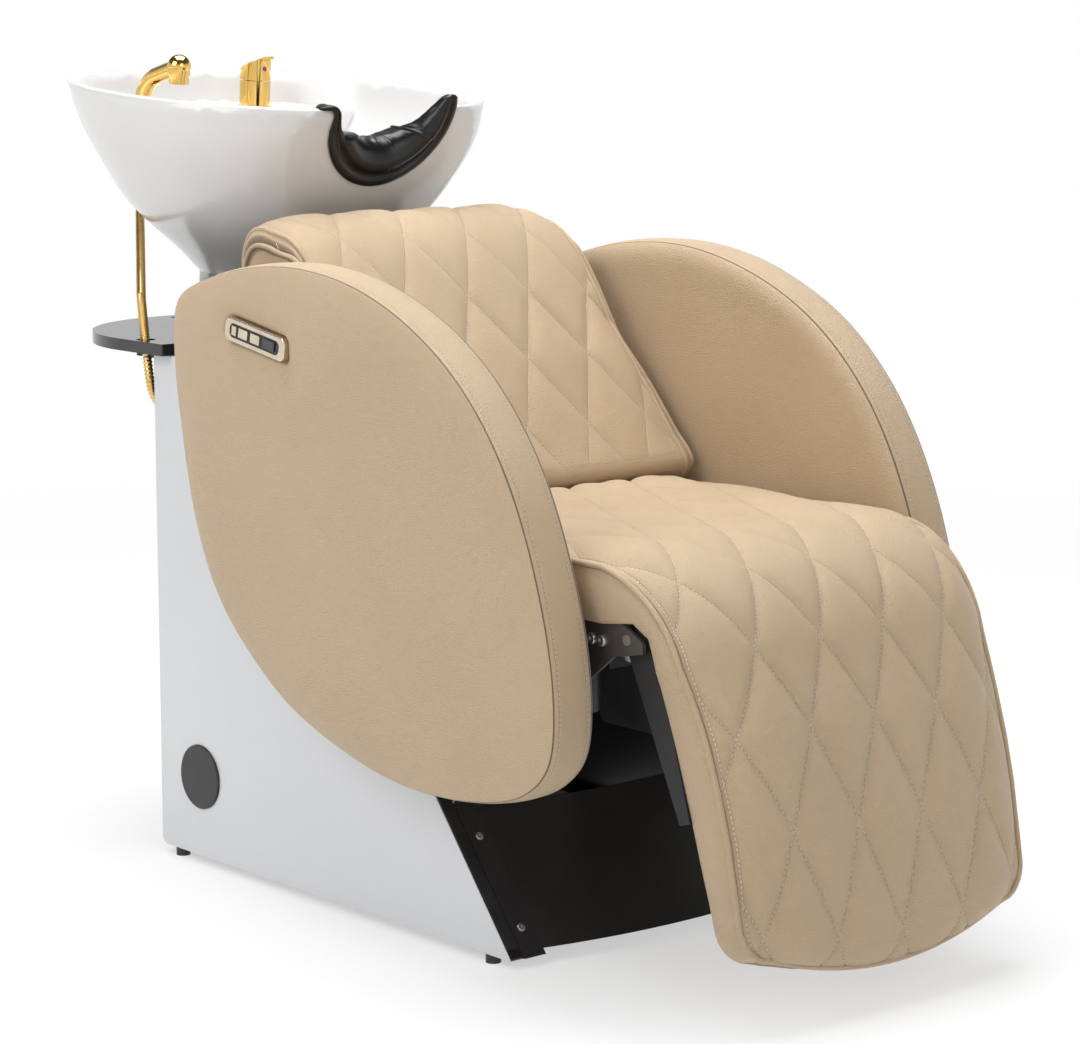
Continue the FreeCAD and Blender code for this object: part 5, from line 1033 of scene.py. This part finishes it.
def neck_saddle():
    table_at = np.array(neck_table)
    rings = []
    for x, z, in_x, in_z, turn in neck_stations():
        thick, reach, proud, rear = (np.interp(turn, table_at[:, 0], table_at[:, index]) for index in (1, 2, 3,
                                                                                                       4))
        welt = math.exp(-((turn - welt_turn) / 1.5) ** 2)
        dip = (math.exp(-((turn - welt_turn - 3.4) / 1.4) ** 2)
               + 0.6 * math.exp(-((turn - welt_turn + 3.4) / 1.4) ** 2))
        thick = thick + 3 * welt - 1.5 * dip
        bulge = 7 * ease((thick - 16) / 22)
        edge = min(9, thick * 0.42)
        front = front_face - front_face_lean * (z - rim_level)
        depth = rear - front
        section = (
            (front - 0.8, -reach, 0), (front - proud * 0.6, -reach - 0.8, 0), (front - proud, -reach * 0.62, 0),
            (front - proud, -reach * 0.25, 0), (front - proud * 0.6, min(1.5, thick * 0.1), 1),
            (front - proud - bulge * 0.8, thick * 0.26, 1), (front - proud - bulge, thick * 0.52, 1),
            (front - proud * 0.5 - bulge * 0.5, thick * 0.84, 1), (front + edge * 0.8, thick, 1),
            (front + depth * 0.35, thick * 1.01, 1), (front + depth * 0.65, thick * 1, 0.5),
            (rear - edge, thick * 0.985, 0), (rear, thick - edge, 0), (rear + 1.5, thick * 0.4, 0),
            (rear - 2, min(3, thick * 0.2), 0), (front + depth * 0.5, 0.3, 0), (front + 4, 0, 0),
            (front - 0.8, -min(1.2, reach * 0.3), 0),
        )
        loop = closed_spline(section, 110)
        crease = sum(math.exp(-((turn - centre) / 1.1) ** 2) for centre in wrinkle_turns)
        loop[:, 1] -= 1 * crease * np.clip(loop[:, 2], 0, 1) * np.exp(-((loop[:, 0] - front - 2) / 16) ** 2)
        close = min(1, (turn + 100.5) / 4, (104.5 - turn) / 3)
        close = math.sqrt(max(0, 1 - (1 - close) ** 2))
        heart = loop[:, :2].mean(axis=0)
        loop[:, :2] = heart + (loop[:, :2] - heart) * (close, 0.25 + 0.75 * close)
        lean_back = front_face_lean * in_z * loop[:, 1]
        y = loop[:, 0] - np.where(loop[:, 1] < 3, lean_back, front_face_lean * in_z * 3)
        rings.append(basin_place(x + in_x * loop[:, 1], y, z + in_z * loop[:, 1]))
    return rings


neck_piece = new_piece("neck_rest_gel", ring_mesh("neck_rest_gel", neck_saddle()), rubber)
settle(neck_piece.data, 0.3, 24, 5)
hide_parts("neck_rest")
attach(neck_piece, "basin")


# Taps: polished gold mixer and pull-up spray. The mixer's dot is half red and half blue.
dress(finish("polished_gold", (0.78, 0.49, 0.13), (0.88, 0.60, 0.20), 0.07, 0.04, 1, 0.01, 12, 1200),
      "mixer_body", "mixer_nut", "mixer_lever", "mixer_cartridge", "spray_holder", "spray_head", "spray_gland")
dress(drain_grey, "waste_fitting")
marker, marker_tree, marker_shader = new_material("red_and_blue_dot", (0.6, 0.04, 0.04), 0.25)
marker_x = add_node(marker_tree, "SeparateXYZ", {"Vector": object_place(marker_tree)}).outputs[0]
dot_low, dot_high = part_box("mixer_marker_dot")
dot_side = calc(marker_tree, "GREATER_THAN", marker_x, (dot_low.x + dot_high.x) / 2)
feed(marker_tree, mix_colour(marker_tree, dot_side, (0.02, 0.08, 0.55), (0.62, 0.03, 0.03)),
     marker_shader.inputs["Base Color"])
dress(marker, "mixer_marker_dot")


# Studio: pale floor that turns to even white away from the object, white surroundings and three
# large soft lamps, the strongest above.
floor_reach = 40
floor_glow_near = 0.55
floor_glow_from = 1.3
floor_glow_to = 3.6
floor_corners = ((-1, -1), (1, -1), (1, 1), (-1, 1))
floor_mesh = bpy.data.meshes.new("studio_floor")
floor_mesh.from_pydata([(x * floor_reach, y * floor_reach, 0) for x, y in floor_corners], [], [(0, 1, 2, 3)])
floor = link_object("studio_floor", floor_mesh)
floor_material, floor_tree, floor_shader = new_material("pale_floor", (0.90, 0.90, 0.90), 0.7)
floor_away = add_node(floor_tree, "VectorMath", operation="LENGTH")
feed(floor_tree, object_place(floor_tree), floor_away.inputs[0])
floor_fade = add_node(floor_tree, "MapRange", {
    "Value": floor_away.outputs["Value"], "From Min": floor_glow_from, "From Max": floor_glow_to,
    "To Min": floor_glow_near}, interpolation_type="SMOOTHSTEP")


floor_mix = joined(floor_tree, "MixShader", floor_fade.outputs["Result"], floor_shader.outputs[0],
                   joined(floor_tree, "Emission"))
feed(floor_tree, floor_mix, floor_tree.nodes["Material Output"].inputs["Surface"])
floor_mesh.materials.append(floor_material)

world = bpy.data.worlds.new("studio_world")
world.use_nodes = True
world_tree = world.node_tree
world_where = add_node(world_tree, "TexCoord").outputs["Generated"]
world_height = add_node(world_tree, "SeparateXYZ", {"Vector": world_where}).outputs[2]


world_light = world_tree.nodes["Background"]
feed(world_tree, colour_ramp(world_tree, world_height, (0.18, 0.185, 0.19), (0.66, 0.67, 0.68), 0.05, 0.75),
     world_light.inputs["Color"])
gloss_tone = colour_ramp(world_tree, world_height, (0.85, 0.85, 0.86), (0.10, 0.10, 0.105), 0.16, 0.42)
world_path = add_node(world_tree, "LightPath").outputs
world_lit = joined(world_tree, "MixShader", world_path["Is Glossy Ray"], world_light.outputs[0],
                   joined(world_tree, "Background", gloss_tone))
world_mix = joined(world_tree, "MixShader", world_path["Is Camera Ray"], world_lit,
                   joined(world_tree, "Background", (1, 1, 1)))
feed(world_tree, world_mix, world_tree.nodes["World Output"].inputs["Surface"])
bpy.context.scene.world = world


def soft_lamp(name, spot, aim, size, power):
    data = bpy.data.lights.new(name, "AREA")
    data.shape = "RECTANGLE"
    data.size, data.size_y = size
    data.energy = power
    lamp = link_object(name, data)
    lamp.location = spot
    lamp.rotation_euler = (Vector(aim) - Vector(spot)).to_track_quat("-Z", "Y").to_euler()


soft_lamp("key_lamp", (-2.4, 0.3, 2.2), (-0.2, 0.1, 0.7), (1.8, 1.6), 34)
soft_lamp("top_lamp", (0.3, 0.5, 3.2), (0, -0.1, 0.4), (2.2, 2.2), 108)
soft_lamp("fill_lamp", (-0.6, -3.2, 2), (0, -0.4, 0.4), (2, 1.8), 17)
bpy.context.scene.view_settings.view_transform = "Standard"
